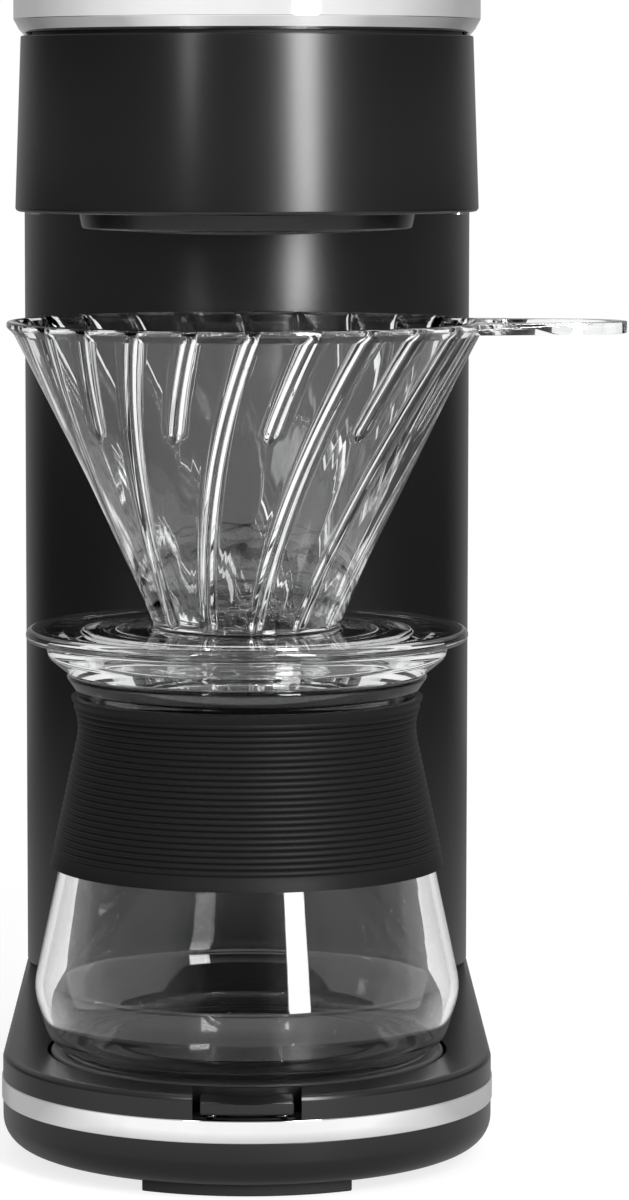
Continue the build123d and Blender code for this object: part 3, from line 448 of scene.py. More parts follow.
def add_surface(tree, shader, marks, grain, depth):
    """Handling marks to the shader's Roughness and fine grain to its Normal."""
    uneven = place_group(tree, handling_marks(), **marks)
    tree.links.new(uneven.outputs["Roughness"], shader.inputs["Roughness"])
    height = place_group(tree, moulded_grain(), scale=grain).outputs["Height"]
    add_bump(tree, shader, height, 1.0, depth * MM)


def moulded(name, colour, roughness, grain=2500.0, depth=0.02, dust=0.1, gloss=0.5):
    """Moulded plastic or rubber: grain, handling marks and a little dust."""
    made, shader = shader_of(name, Specular_IOR_Level=gloss)
    tree = made.node_tree
    dust_mask = place_group(tree, settled_dust(), amount=dust).outputs["Mask"]
    grey = tuple(0.55 * share + 0.12 for share in colour)
    tree.links.new(mix_colour(tree, dust_mask, colour, grey), shader.inputs["Base Color"])
    marks = {"roughness": roughness, "spread": 0.2 * roughness}
    add_surface(tree, shader, marks, grain, depth)
    return made


def polished(name, colour, roughness, grain=900.0, depth=0.002, spread=0.05):
    """Bare or plated metal with faint handling marks."""
    made, shader = shader_of(name, Metallic=1.0)
    tree = made.node_tree
    worn = spread_of(tree, noise(tree, 60.0, 5.0), 0.35, 0.65, 0.0, 1.0)
    dulled = tuple(0.93 * share for share in colour)
    tree.links.new(mix_colour(tree, worn, colour, dulled), shader.inputs["Base Color"])
    marks = {"roughness": roughness, "spread": spread, "scale": 45.0}
    add_surface(tree, shader, marks, grain, depth)
    return made


def see_through(name, colour, ior, roughness, ripple, ripple_scale):
    """Clear solid with the slow ripple of its forming."""
    made, shader = shader_of(name, IOR=ior, Transmission_Weight=1.0)
    tree = made.node_tree
    haze = spread_of(tree, noise(tree, 35.0, 3.0), 0.3, 0.7, 0.0, 1.0)
    paler = tuple(min(1.0, 1.02 * share) for share in colour)
    tree.links.new(mix_colour(tree, haze, colour, paler), shader.inputs["Base Color"])
    marks = place_group(tree, handling_marks(), roughness=roughness, spread=roughness, scale=20.0)
    tree.links.new(marks.outputs["Roughness"], shader.inputs["Roughness"])
    add_bump(tree, shader, noise(tree, ripple_scale, 1.0), 1.0, ripple * MM)
    return made


def black_plastic():
    colours = bpy.context.scene.brewer_finishes
    return moulded("satin_black_casing", colours.casing, 0.26, depth=0.005, dust=0.04)


def dark_plastic():
    return moulded("dark_inner_plastic", (0.016, 0.016, 0.017), 0.5, depth=0.02)


def white_plastic():
    return moulded("white_terminal_plastic", (0.75, 0.74, 0.71), 0.45, depth=0.01)


def chrome():
    return polished("bright_plating", bpy.context.scene.brewer_finishes.plating, 0.045,
                    spread=0.03)


def foot_rubber():
    return moulded("foot_rubber", (0.018, 0.018, 0.018), 0.72, grain=1500.0, depth=0.06)


def silicone_black():
    colours = bpy.context.scene.brewer_finishes
    return moulded("sleeve_silicone", colours.sleeve, 0.5, grain=3500.0, depth=0.015, dust=0.1,
                   gloss=0.18)


def silicone_clear():
    return see_through("milky_hose_silicone", (0.86, 0.87, 0.86), 1.41, 0.45, 0.01, 300.0)


def plate_coat():
    return moulded("non_stick_coating", (0.016, 0.016, 0.017), 0.33, grain=1200.0, depth=0.02)


def aluminium():
    return polished("cast_aluminium", (0.72, 0.73, 0.74), 0.42, grain=700.0, depth=0.03)


def steel():
    return polished("stainless_steel", (0.62, 0.62, 0.62), 0.24, grain=1200.0)


def wire():
    return moulded("wire_sheath", (0.03, 0.03, 0.032), 0.4, dust=0.0)


def server_glass():
    return see_through("blown_server_glass", (0.985, 0.99, 0.99), 1.47, 0.004, 0.02, 40.0)


def clear_resin():
    return see_through("clear_dripper_resin", (0.975, 0.98, 0.98), 1.53, 0.006, 0.002, 60.0)


def tank_resin():
    return see_through("smoked_tank_resin", (0.55, 0.56, 0.58), 1.5, 0.12, 0.01, 60.0)


finish_makers = {
    maker.__name__: maker for maker in (
        black_plastic, dark_plastic, white_plastic, chrome, foot_rubber, silicone_black,
        silicone_clear, plate_coat, aluminium, steel, wire, server_glass, clear_resin, tank_resin,
    )
}


@cache
def finish_for(slot):
    """The material of a slot, made once."""
    return finish_makers[slot]()


def dress(piece, slot):
    """Gives the piece the finish of a slot."""
    piece.data.materials.clear()
    piece.data.materials.append(finish_for(slot))


def stand_for(piece, node):
    """The piece takes a CAD node's place, body and finish."""
    slot = slot_of[node]
    dress(piece, slot)
    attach(piece, frame["nodes"][node]["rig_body"])
    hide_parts(node)


# ---------------------------------------------------------------- settings
def length(label, text, default):
    """Length property in metres."""
    return FloatProperty(name=label, description=text, default=default, min=0.0, unit="LENGTH",
                         precision=5)


def power(label, text, default):
    """Light power property in watts."""
    return FloatProperty(name=label, description=text, default=default, min=0.0, unit="POWER")


def tint(label, text, default):
    """Colour property."""
    return FloatVectorProperty(name=label, description=text, default=default, subtype="COLOR",
                               min=0, max=1)


class BrewerCasing(bpy.types.PropertyGroup):
    wall: length("Wall", "Thickness of the head's and column's walls", 2.2 * MM)
    column_round: length("Column edge", "Radius of the column's edges", 0.25 * MM)
    gland_neck: length("Gland hole", "Radius of the hole for the cord's gland", 5.6 * MM)
    ledge: length("Ledge", "Reach and thickness of the head's inner ledge", 3.0 * MM)
    draft: length("Draft", "How far the head's top edge stands inside its bottom edge", 1.5 * MM)
    head_round: length("Head edge", "Radius of the head's bottom edge", 1.0 * MM)
    lid_chamfer_out: length("Chamfer out", "Width of the lid's lower chamfer", 2.7 * MM)
    lid_chamfer_up: length("Chamfer up", "Height of the lid's lower chamfer", 3.2 * MM)
    lid_wall: length("Lid wall", "Thickness of the lid's skin", 1.2 * MM)
    lid_round: length("Lid edge", "Radius of the lid's top edge", 0.5 * MM)


class BrewerBase(bpy.types.PropertyGroup):
    bottom_round: length("Bottom edge", "Radius of the base's bottom edge", 7.0 * MM)
    top_round: length("Top edge", "Radius of the base's top edge", 1.6 * MM)
    wall: length("Wall", "Thickness of the base's walls", 2.7 * MM)
    skin: length("Top skin", "Thickness of the base's top", 2.2 * MM)
    well_radius: length("Well", "Radius of the well for the hot plate", 49.7 * MM)
    ledge_radius: length("Ledge", "Inner radius of the well's ledge", 44.0 * MM)
    notch_half_width: length("Notch", "Half the width of the button's notch", 13.0 * MM)
    band_wall: length("Band wall", "Thickness of the bright band", 1.4 * MM)
    tongue_back: length("Tongue back", "Radius of the button's inner edge", 51.6 * MM)
    tongue_thick: length("Tongue thickness", "Thickness of the button's tongue", 3.3 * MM)
    dish_radius: length("Dish", "Radius of the button's finger dish", 9.2 * MM)
    dish_depth: length("Dish depth", "Depth of the button's finger dish", 1.0 * MM)


class BrewerServer(bpy.types.PropertyGroup):
    glass_wall: length("Glass wall", "Thickness of the server's glass", 1.8 * MM)
    punt: length("Punt", "How far the middle of the server's foot is raised", 0.8 * MM)
    sleeve_thick: length("Sleeve", "Thickness of the silicone sleeve", 2.0 * MM)
    sleeve_clear: length("Sleeve clearance", "Gap between sleeve and glass", 0.15 * MM)
    rib_height: length("Sleeve rib", "Height of a sleeve rib", 0.45 * MM)
    rib_count: IntProperty(name="Sleeve ribs", description="Number of ribs", default=24, min=1)


class BrewerDripper(bpy.types.PropertyGroup):
    wall: length("Wall", "Thickness of the cone", 2.2 * MM)
    lip: length("Lip", "Height of the rim's upright edge", 1.4 * MM)
    rib_height: length("Rib height", "How far a rib stands into the cone", 1.7 * MM)
    rib_half_width: length("Rib half width", "Half the width of a rib at its foot", 1.9 * MM)
    rib_pairs: IntProperty(name="Rib pairs", description="Long ribs, each with a short one beside",
                           default=12, min=1)
    rib_twist: FloatProperty(name="Twist", description="Turn of a long rib on its way down",
                             default=math.radians(27.2), subtype="ANGLE")
    short_share: FloatProperty(name="Short rib", description="Share of a long rib's height",
                               default=0.36, min=0.0, max=1.0, subtype="FACTOR")


class BrewerFinishes(bpy.types.PropertyGroup):
    casing: tint("Casing", "Colour of the black casing", (0.005, 0.005, 0.0053))
    sleeve: tint("Sleeve", "Colour of the silicone sleeve", (0.005, 0.005, 0.0053))
    plating: tint("Plating", "Colour of the bright plating", (0.93, 0.93, 0.94))


class BrewerStudio(bpy.types.PropertyGroup):
    floor_colour: tint("Floor", "Colour of the floor", (0.3, 0.3, 0.3))
    floor_glow: FloatProperty(name="Floor glow", description="How much the floor lights the brewer",
                              default=0.22, min=0.0, max=1.0)
    floor_radius: length("Floor radius", "Radius of the round floor", 0.75)
    left_power: power("Left strip", "Power of the narrow tall light", 2.8)
    right_power: power("Right strip", "Power of the broad tall light", 19.0)
    top_power: power("Top light", "Power of the overhead light", 4.0)
    camera_distance: length("Camera distance", "From the brewing axis to the camera", 1.204)
    camera_height: length("Camera height", "Height of the camera", 0.258)
    camera_tilt: FloatProperty(name="Camera tilt", description="How far the camera looks down",
                               default=math.radians(5.69), subtype="ANGLE")
    camera_lens: FloatProperty(name="Lens", description="Focal length", default=147.0,
                               subtype="DISTANCE_CAMERA")


# ---------------------------------------------------------------- casing
class BREWER_OT_column(bpy.types.Operator):
    """Round column between the base and the head, with a hole for the cord's gland"""

    bl_idname = "brewer.column"
    bl_label = "Column"

    def execute(self, context):
        sizes = context.scene.brewer_casing
        z0 = low("column_shell").z
        z1 = high("column_shell").z
        inner = COLUMN_RADIUS - sizes.wall
        column = tube("column_casing", COLUMN_RADIUS, inner, z0, z1, COLUMN_Y, sizes.column_round)
        gland_low, gland_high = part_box("cord_gland")
        middle_z = (gland_low.z + gland_high.z) / 2
        outline = arc(0.0, middle_z, sizes.gland_neck, 0.0, 2 * math.pi, 64)[:-1]
        ends = (COLUMN_Y, gland_high.y + PAST)
        mesh = bmesh.new()
        rings = [[mesh.verts.new((x, y, z)) for x, z in outline] for y in ends]
        join_rings(mesh, rings, capped=True)
        carve(column, new_piece("gland_hole", mesh))
        stand_for(column, "column_shell")
        return {"FINISHED"}


class BREWER_OT_head(bpy.types.Operator):
    """Drafted casing of the head with a softly rounded bottom edge and an inner ledge"""

    bl_idname = "brewer.head"
    bl_label = "Head"

    def execute(self, context):
        sizes = context.scene.brewer_casing
        z0 = low("head_shell").z
        z1 = high("head_shell").z
        ledge_top = low("head_deck").z
        ledge_low = ledge_top - sizes.ledge

        def inner(z):
            return -sizes.wall - sizes.draft * (z - z0) / (z1 - z0)

        outline = round_path([
            (0.0, z0, sizes.head_round),
            (-sizes.draft, z1, 0.4 * MM),
            (inner(z1), z1, 0.3 * MM),
            (inner(ledge_top), ledge_top, 0.0),
            (inner(ledge_top) - sizes.ledge, ledge_top, 0.2 * MM),
            (inner(ledge_low) - sizes.ledge, ledge_low, 0.2 * MM),
            (inner(ledge_low), ledge_low, 0.0),
            (inner(z0), z0, 0.3 * MM),
        ])
        head = sweep("head_casing", outline, footprint_stations(HEAD_FRONT, HEAD_REAR))
        stand_for(head, "head_shell")
        return {"FINISHED"}


class BREWER_OT_lid(bpy.types.Operator):
    """Bright cap over the head, chamfered underneath"""

    bl_idname = "brewer.lid"
    bl_label = "Lid"

    def execute(self, context):
        sizes = context.scene.brewer_casing
        z0 = low("lid_skin").z
        z1 = high("lid_skin").z
        inner = -sizes.lid_chamfer_out - sizes.lid_wall
        outline = round_path([
            (inner, z1 - sizes.lid_wall, 0.0),
            (inner, z0, 0.2 * MM),
            (-sizes.lid_chamfer_out, z0, 0.3 * MM),
            (0.0, z0 + sizes.lid_chamfer_up, 0.35 * MM),
            (0.0, z1, sizes.lid_round),
            (-sizes.lid_round - SKIN_REACH, z1, 0.0),
        ], closed=False)
        lid = sweep("lid_cap", outline, footprint_stations(LID_FRONT, LID_REAR), capped=True)
        even_flats(lid)
        stand_for(lid, "lid_skin")
        return {"FINISHED"}


# ---------------------------------------------------------------- base
class BREWER_OT_base(bpy.types.Operator):
    """Base: top with its well and notch, bright band, and tray with a rounded bottom edge"""

    bl_idname = "brewer.base"
    bl_label = "Base"

    def execute(self, context):
        sizes = context.scene.brewer_base
        stations = footprint_stations(BASE_RADIUS, BASE_RADIUS)
        self.make_top(sizes, stations)
        self.make_band(sizes, stations)
        self.make_tray(sizes, stations)
        return {"FINISHED"}

    def make_top(self, sizes, stations):
        """Top skin and outer wall, cut by the hot plate's well and the button's notch."""
        outline = round_path([
            (0.0, BAND_HIGH, 0.0),
            (0.0, BASE_TOP, sizes.top_round),
            (-sizes.top_round - SKIN_REACH, BASE_TOP, 0.0),
        ], closed=False)
        top = sweep("base_deck", outline, stations, capped=True)
        hollow_outline = [(-sizes.wall, BAND_HIGH - PAST), (-sizes.wall, BASE_TOP - sizes.skin)]
        carve(top, sweep("hollow", hollow_outline, stations, capped=True))
        ledge_z = 19.0 * MM
        ledge_thick = 1.6 * MM
        well_wall = 1.5 * MM
        well_outer = sizes.well_radius + well_wall
        collar = tube("collar", well_outer, sizes.ledge_radius, ledge_z, BASE_TOP - PAST)
        carve(top, collar, "UNION")
        carve(top, rod("well", sizes.well_radius, ledge_z + ledge_thick, BASE_TOP + PAST))
        notch_front = -BASE_RADIUS - 2 * PAST
        notch_back = -40.0 * MM
        notch = block("notch", (-sizes.notch_half_width, notch_front, BAND_HIGH - PAST),
                      (sizes.notch_half_width, notch_back, BASE_TOP + PAST))
        carve(notch, rod("kept_collar", well_outer, 0.0, BASE_TOP + 2 * PAST))
        carve(top, notch)
        even_flats(top)
        stand_for(top, "base_top_shell")

    def make_band(self, sizes, stations):
        """Bright band, standing a little proud."""
        proud = -low("base_band").y - BASE_RADIUS
        inner = proud - sizes.band_wall
        outline = round_path([
            (proud, BAND_LOW, 0.25 * MM),
            (proud, BAND_HIGH, 0.25 * MM),
            (inner, BAND_HIGH, 0.0),
            (inner, BAND_LOW, 0.0),
        ])
        stand_for(sweep("base_trim_band", outline, stations), "base_band")

    def make_tray(self, sizes, stations):
        """Lower tray."""
        z0 = low("base_lower_shell").z
        floor_top = z0 + sizes.skin
        outline = round_path([
            (-sizes.bottom_round - SKIN_REACH, z0, 0.0),
            (0.0, z0, sizes.bottom_round),
            (0.0, BAND_LOW, 0.15 * MM),
            (-sizes.wall, BAND_LOW, 0.15 * MM),
            (-sizes.wall, floor_top, sizes.bottom_round - sizes.wall),
            (-sizes.bottom_round - SKIN_REACH, floor_top, 0.0),
        ], closed=False)
        tray = sweep("base_tray", outline, stations, capped=True)
        even_flats(tray)
        stand_for(tray, "base_lower_shell")


class BREWER_OT_hot_plate(bpy.types.Operator):
    """Coated hot plate with a rounded edge and a shallow pressed ring"""

    bl_idname = "brewer.hot_plate"
    bl_label = "Hot plate"

    def execute(self, context):
        radius = high("hot_plate").x
        z0 = low("hot_plate").z
        sheet = 1.3 * MM
        groove_radius = 45.2 * MM
        groove_half = 0.5 * MM
        groove_depth = 0.25 * MM
        outline = round_path([
            (0.0, PLATE_TOP, 0.0),
            (groove_radius - groove_half, PLATE_TOP, 0.3 * MM),
            (groove_radius, PLATE_TOP - groove_depth, 0.2 * MM),
            (groove_radius + groove_half, PLATE_TOP, 0.3 * MM),
            (radius, PLATE_TOP, 1.1 * MM),
            (radius, z0, 0.3 * MM),
            (radius - sheet, z0, 0.3 * MM),
            (radius - sheet, PLATE_TOP - sheet, 0.6 * MM),
            (0.0, PLATE_TOP - sheet, 0.0),
        ], closed=False)
        plate = sweep("warming_plate", outline, circle_stations())
        stand_for(plate, "hot_plate")
        return {"FINISHED"}


class BREWER_OT_button(bpy.types.Operator):
    """Tongue-shaped push button with a round finger dish"""

    bl_idname = "brewer.button"
    bl_label = "Button"

    def execute(self, context):
        sizes = context.scene.brewer_base
        box_low, box_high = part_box("power_button")
        front = -box_low.y
        half_width = box_high.x
        tongue_low = box_high.z - sizes.tongue_thick
        outline = front_arc(front, half_width, 24) + front_arc(sizes.tongue_back, half_width, 24, -1)
        button = prism("start_button", outline, tongue_low, box_high.z, 0.55 * MM)
        ball = (sizes.dish_radius ** 2 + sizes.dish_depth ** 2) / (2 * sizes.dish_depth)
        dish_y = 0.2 * MM - (front + sizes.tongue_back) / 2
        ball_z = box_high.z - sizes.dish_depth + ball
        dish_reach = 1.3 * math.asin(sizes.dish_radius / ball)
        dish = arc(0.0, ball_z, ball, -math.pi / 2, dish_reach, 12)
        dish_top = box_high.z + 2 * PAST
        dish += [(dish[-1][0], dish_top), (0.0, dish_top)]
        carve(button, sweep("dish", dish, circle_stations(dish_y, 96)))
        stem_half = 4.0 * MM
        stem_front = -55.8 * MM
        stem_back = -52.6 * MM
        stem = block("stem", (-stem_half, stem_front, box_low.z),
                     (stem_half, stem_back, tongue_low + PAST / 2))
        carve(button, stem, "UNION")
        even_flats(button)
        stand_for(button, "power_button")
        return {"FINISHED"}


class BREWER_OT_front_foot(bpy.types.Operator):
    """Broad rubber foot with eased edges"""

    bl_idname = "brewer.front_foot"
    bl_label = "Front foot"

    def execute(self, context):
        box_low, box_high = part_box("front_foot")
        half_width = box_high.x
        outline = front_arc(-box_low.y, half_width, 32)
        outline += [(half_width, box_high.y), (-half_width, box_high.y)]
        foot_top = low("base_lower_shell").z
        foot = prism("base_front_foot", outline, 0.0, foot_top, 0.35 * MM)
        stand_for(foot, "front_foot")
        return {"FINISHED"}


class BREWER_OT_shower(bpy.types.Operator):
    """Flared ring round the spray plate under the head"""

    bl_idname = "brewer.shower"
    bl_label = "Shower"

    def execute(self, context):
        z0 = low("shower_housing").z
        top_radius = high("shower_housing").x
        flare_top = low("head_shell").z + 0.8 * MM
        bottom_radius = top_radius - 1.0 * MM
        wall = 2.4 * MM
        roof = 2.0 * MM
        neck_radius = 38.9 * MM
        neck_top = high("shower_housing").z
        outline = round_path([
            (bottom_radius, z0, 0.8 * MM),
            (top_radius, flare_top, 0.0),
            (neck_radius, flare_top, 0.0),
            (neck_radius, neck_top, 0.4 * MM),
            (0.0, neck_top, 0.0),
            (0.0, neck_top - roof, 0.0),
            (neck_radius - wall, neck_top - roof, 0.0),
            (neck_radius - wall, flare_top, 0.0),
            (bottom_radius - wall, flare_top, 0.0),
            (bottom_radius - wall, z0, 0.3 * MM),
        ])
        shower = sweep("shower_ring", outline, circle_stations())
        stand_for(shower, "shower_housing")
        return {"FINISHED"}


# ---------------------------------------------------------------- server
def server_wall():
    """Outside of the server's wall from its foot to its mouth, as (radius, height)."""
    punt = bpy.context.scene.brewer_server.punt
    return round_path([
        (0.0, SERVER_FOOT + punt, 0.0),
        (33.0 * MM, SERVER_FOOT + punt, 5.0 * MM),          # edge of the raised middle
        (37.5 * MM, SERVER_FOOT, 3.0 * MM),                 # standing ring
        (48.3 * MM, SERVER_FOOT, 8.0 * MM),                 # heel
        (53.1 * MM, SERVER_FOOT + 15.2 * MM, 14.0 * MM),    # belly
        (38.4 * MM, SERVER_FOOT + 83.7 * MM, 16.0 * MM),    # neck
        (44.3 * MM, SERVER_TOP - 1.6 * MM, 0.0),            # mouth
    ], closed=False)


def side_wall():
    """The part of the server's wall that rises, from its foot to its mouth."""
    foot_radius = 42.0 * MM
    waist_z = 60.0 * MM
    return [point for point in server_wall() if point.x > foot_radius or point.y > waist_z]


class BREWER_OT_server(bpy.types.Operator):
    """Blown glass server with a belly, a gentle neck and a fire-polished mouth"""

    bl_idname = "brewer.server"
    bl_label = "Server"

    def execute(self, context):
        wall = context.scene.brewer_server.glass_wall
        outside = server_wall()
        inside = beside(outside, wall)
        inside[0].x = 0.0
        middle = (outside[-1] + inside[-1]) / 2
        outward = outside[-1] - middle
        upward = Vector((-outward.y, outward.x))
        steps = 10
        lip = [
            middle + outward * math.cos(math.pi * k / steps) + upward * math.sin(math.pi * k / steps)
            for k in range(1, steps)
        ]
        outline = outside + lip + inside[::-1]
        server = sweep("server_flask", outline, circle_stations(), sharp=60.0)
        stand_for(server, "server_glass")
        return {"FINISHED"}


class BREWER_OT_sleeve(bpy.types.Operator):
    """Ribbed silicone sleeve round the server's neck"""

    bl_idname = "brewer.sleeve"
    bl_label = "Sleeve"

    def execute(self, context):
        sizes = context.scene.brewer_server
        z0 = low("server_sleeve").z
        z1 = high("server_sleeve").z
        wall = side_wall()
        against = beside(wall, -sizes.sleeve_clear)
        face = beside(wall, -sizes.sleeve_thick)
        proud = beside(wall, -sizes.sleeve_thick - 0.3 * MM)
        crest = beside(wall, -sizes.sleeve_thick - sizes.rib_height)
        band_top = z0 + 4.0 * MM
        rib_top = z1 - 2.4 * MM
        pitch = (rib_top - band_top) / sizes.rib_count
        steps = 7
        outline = [at_height(against, z0), at_height(proud, z0 + 0.4 * MM)]
        outline += [at_height(proud, band_top - 0.5 * MM), at_height(face, band_top)]
        for k in range(sizes.rib_count):
            for i in range(1, steps + 1):
                share = i / steps
                z = band_top + pitch * (k + share)
                height = math.sin(math.pi * share) ** 0.7 if i < steps else 0.0
                outline.append(at_height(face, z).lerp(at_height(crest, z), height))
        outline += [
            at_height(face, rib_top + 0.7 * MM), at_height(face, z1 - 0.8 * MM),
            at_height(face, z1 - 0.25 * MM).lerp(at_height(against, z1 - 0.25 * MM), 0.12),
            at_height(face, z1).lerp(at_height(against, z1), 0.35),
        ]
        inner_steps = 24
        for k in range(inner_steps):
            outline.append(at_height(against, z1 - (z1 - z0) * k / inner_steps))
        sleeve = sweep("server_grip_sleeve", outline, circle_stations(), sharp=50.0)
        stand_for(sleeve, "server_sleeve")
        return {"FINISHED"}


# ---------------------------------------------------------------- dripper
class BREWER_OT_dripper(bpy.types.Operator):
    """Clear cone dripper: leaning ribs, saucer, stepped seat, collar and finger loop"""

    bl_idname = "brewer.dripper"
    bl_label = "Dripper"

    saucer_top = 131.3 * MM
    saucer_thick = 3.0 * MM
    saucer_radius = 54.6 * MM
    waist_radius = 22.5 * MM
    cone_top_radius = 57.3 * MM
    drain_radius = 9.5 * MM
    collar_inner = 32.6 * MM        # collar that drops into the server's mouth
    collar_outer = 35.0 * MM
    seat_inner = 40.5 * MM          # ring that rests over the server's mouth
    seat_outer = 45.0 * MM
    seat_flare = 49.0 * MM          # the ring's side flares out to here under the saucer
    seat_flare_up = 3.4 * MM
    lip_flare_up = 1.6 * MM         # height of the flare from the cone to its lip
    rib_foot = 132.3 * MM
    rib_columns = 9                 # mesh columns across a rib
    gap_columns = 3                 # and between two ribs
    levels = 100                    # mesh rings down the inside of the cone

    def cone_radius(self, z, lip):
        """Outside radius of the cone at height z."""
        top_z = RIM_TOP - lip - self.lip_flare_up
        share = (z - self.saucer_top) / (top_z - self.saucer_top)
        return self.waist_radius + share * (self.cone_top_radius - self.waist_radius)

    def outside(self, sizes):
        """From the cone's floor through the drain, under the saucer and up to the rim."""
        seat_z = SERVER_TOP + 0.3 * MM
        collar_z = low("dripper").z
        drain_z = collar_z + 1.0 * MM
        under = self.saucer_top - self.saucer_thick
        floor_z = drain_z + sizes.wall
        edge = self.saucer_thick / 2 - 0.1 * MM
        flare_z = RIM_TOP - sizes.lip - self.lip_flare_up
        return round_path([
            (self.cone_radius(floor_z, sizes.lip) - sizes.wall, floor_z, 0.0),
            (self.drain_radius, floor_z, 0.5 * MM),
            (self.drain_radius, drain_z, 0.4 * MM),
            (self.cone_radius(drain_z, sizes.lip), drain_z, 0.6 * MM),
            (self.cone_radius(under, sizes.lip), under, 0.8 * MM),
            (self.collar_inner, under, 0.8 * MM),
            (self.collar_inner, collar_z, 0.6 * MM),
            (self.collar_outer, collar_z, 0.6 * MM),
            (self.collar_outer, under, 0.8 * MM),
            (self.seat_inner, under, 0.5 * MM),
            (self.seat_inner, seat_z, 0.4 * MM),
            (self.seat_outer, seat_z, 0.5 * MM),
            (self.seat_flare, seat_z + self.seat_flare_up, 3.0 * MM),
            (self.seat_flare + MM, under, 0.5 * MM),
            (self.saucer_radius, under, edge),
            (self.saucer_radius, self.saucer_top, edge),
            (self.waist_radius, self.saucer_top, 1.2 * MM),
            (self.cone_top_radius, flare_z, 1.5 * MM),
            (RIM_RADIUS, RIM_TOP - sizes.lip, 0.6 * MM),
            (RIM_RADIUS, RIM_TOP, 0.5 * MM),
            (self.cone_radius(RIM_TOP, sizes.lip) - sizes.wall, RIM_TOP, 0.0),
        ], closed=False)

    def rib_share(self, z, foot_z, round_length):
        """How much of its height a rib has at z: it ends round at its foot and at the rim."""
        share = 1.0
        for distance in (z - foot_z, RIM_TOP - z + 0.3 * MM):
            gone = 1.0 - min(1.0, max(0.0, distance / round_length))
            share *= math.sqrt(max(0.0, 1.0 - gone * gone))
        return share

    def columns(self, sizes, radius, z, ribbed):
        """Turn and radius of every column round one ring; the columns follow the ribs."""
        down = min(1.0, (RIM_TOP - z) / (RIM_TOP - self.rib_foot))
        pitch = 2 * math.pi / sizes.rib_pairs
        first = math.radians(1.7) - sizes.rib_twist * down - math.pi / 2
        reach = min(sizes.rib_half_width / radius, 0.38 * pitch / 2)
        short_foot = RIM_TOP - sizes.short_share * (RIM_TOP - self.rib_foot)
        found = []
        for half_step in range(2 * sizes.rib_pairs):
            centre = first + half_step * pitch / 2
            foot_z = self.rib_foot if half_step % 2 == 0 else short_foot
            share = self.rib_share(z, foot_z, 1.5 * sizes.rib_half_width) if ribbed else 0.0
            for k in range(self.rib_columns):
                across = 2 * k / (self.rib_columns - 1) - 1
                crest = 0.0
                if share > 0 and abs(across) < share:
                    crest = sizes.rib_height * share * math.cos(math.pi / 2 * across / share)
                found.append((centre + reach * across, radius - crest))
            for k in range(1, self.gap_columns + 1):
                between = reach + (pitch / 2 - 2 * reach) * k / (self.gap_columns + 1)
                found.append((centre + between, radius))
        return found

    def make_cone(self, sizes):
        """Everything but the handle, as one closed mesh."""
        outside = self.outside(sizes)
        floor_z = outside[0].y
        rings = [(point.x, point.y, False) for point in outside[1:-1]]
        for k in range(self.levels + 1):
            z = RIM_TOP + (floor_z - RIM_TOP) * k / self.levels
            rings.append((self.cone_radius(z, sizes.lip) - sizes.wall, z, True))
        mesh = bmesh.new()
        made = []
        for radius, z, ribbed in rings:
            columns = self.columns(sizes, radius, z, ribbed)
            made.append([
                mesh.verts.new((reach * math.cos(turn), reach * math.sin(turn), z))
                for turn, reach in columns
            ])
        join_rings(mesh, made, capped=False)
        return new_piece("cone_dripper", mesh, sharp=65.0)

    def make_handle(self):
        """Flat finger loop whose inner end lies inside the rim."""
        thick = 2.8 * MM
        end_radius = 14.0 * MM
        bar = 5.0 * MM
        end_x = HANDLE_REACH - end_radius
        root_x = 50.0 * MM
        root_radius = 19.0 * MM
        open_x = 66.0 * MM
        open_radius = 11.0 * MM
        inside_rim = 1.6 * MM
        below = RIM_TOP - 2 * thick
        above = RIM_TOP + thick
        outer = self.loop(root_x, root_radius, end_x, end_radius)
        inner = self.loop(open_x, open_radius, end_x, end_radius - bar)
        handle = prism("handle", outer, RIM_TOP - thick, RIM_TOP)
        carve(handle, prism("opening", inner, below, above))
        carve(handle, rod("rim_room", RIM_RADIUS - inside_rim, below, above))
        ease_edges(handle, 0.7 * MM, 60.0)
        return handle

    def loop(self, near_x, near_radius, far_x, far_radius):
        """Outline of two circles along X and their outer tangents."""
        lean = math.asin((far_radius - near_radius) / (far_x - near_x))
        far = arc(far_x, 0.0, far_radius, -math.pi / 2 - lean, math.pi + 2 * lean, 48)
        return far + arc(near_x, 0.0, near_radius, math.pi / 2 + lean, math.pi - 2 * lean, 48)

    def execute(self, context):
        sizes = context.scene.brewer_dripper
        dripper = self.make_cone(sizes)
        carve(dripper, self.make_handle(), "UNION", sharp=65.0)
        stand_for(dripper, "dripper")
        return {"FINISHED"}


class BREWER_OT_inner_parts(bpy.types.Operator):
    """Finishes for every construction part that shows as it is"""

    bl_idname = "brewer.inner_parts"
    bl_label = "Inner parts"

    def execute(self, context):
        for name, part in frame["nodes"].items():
            dress(part, slot_of[name])
        return {"FINISHED"}


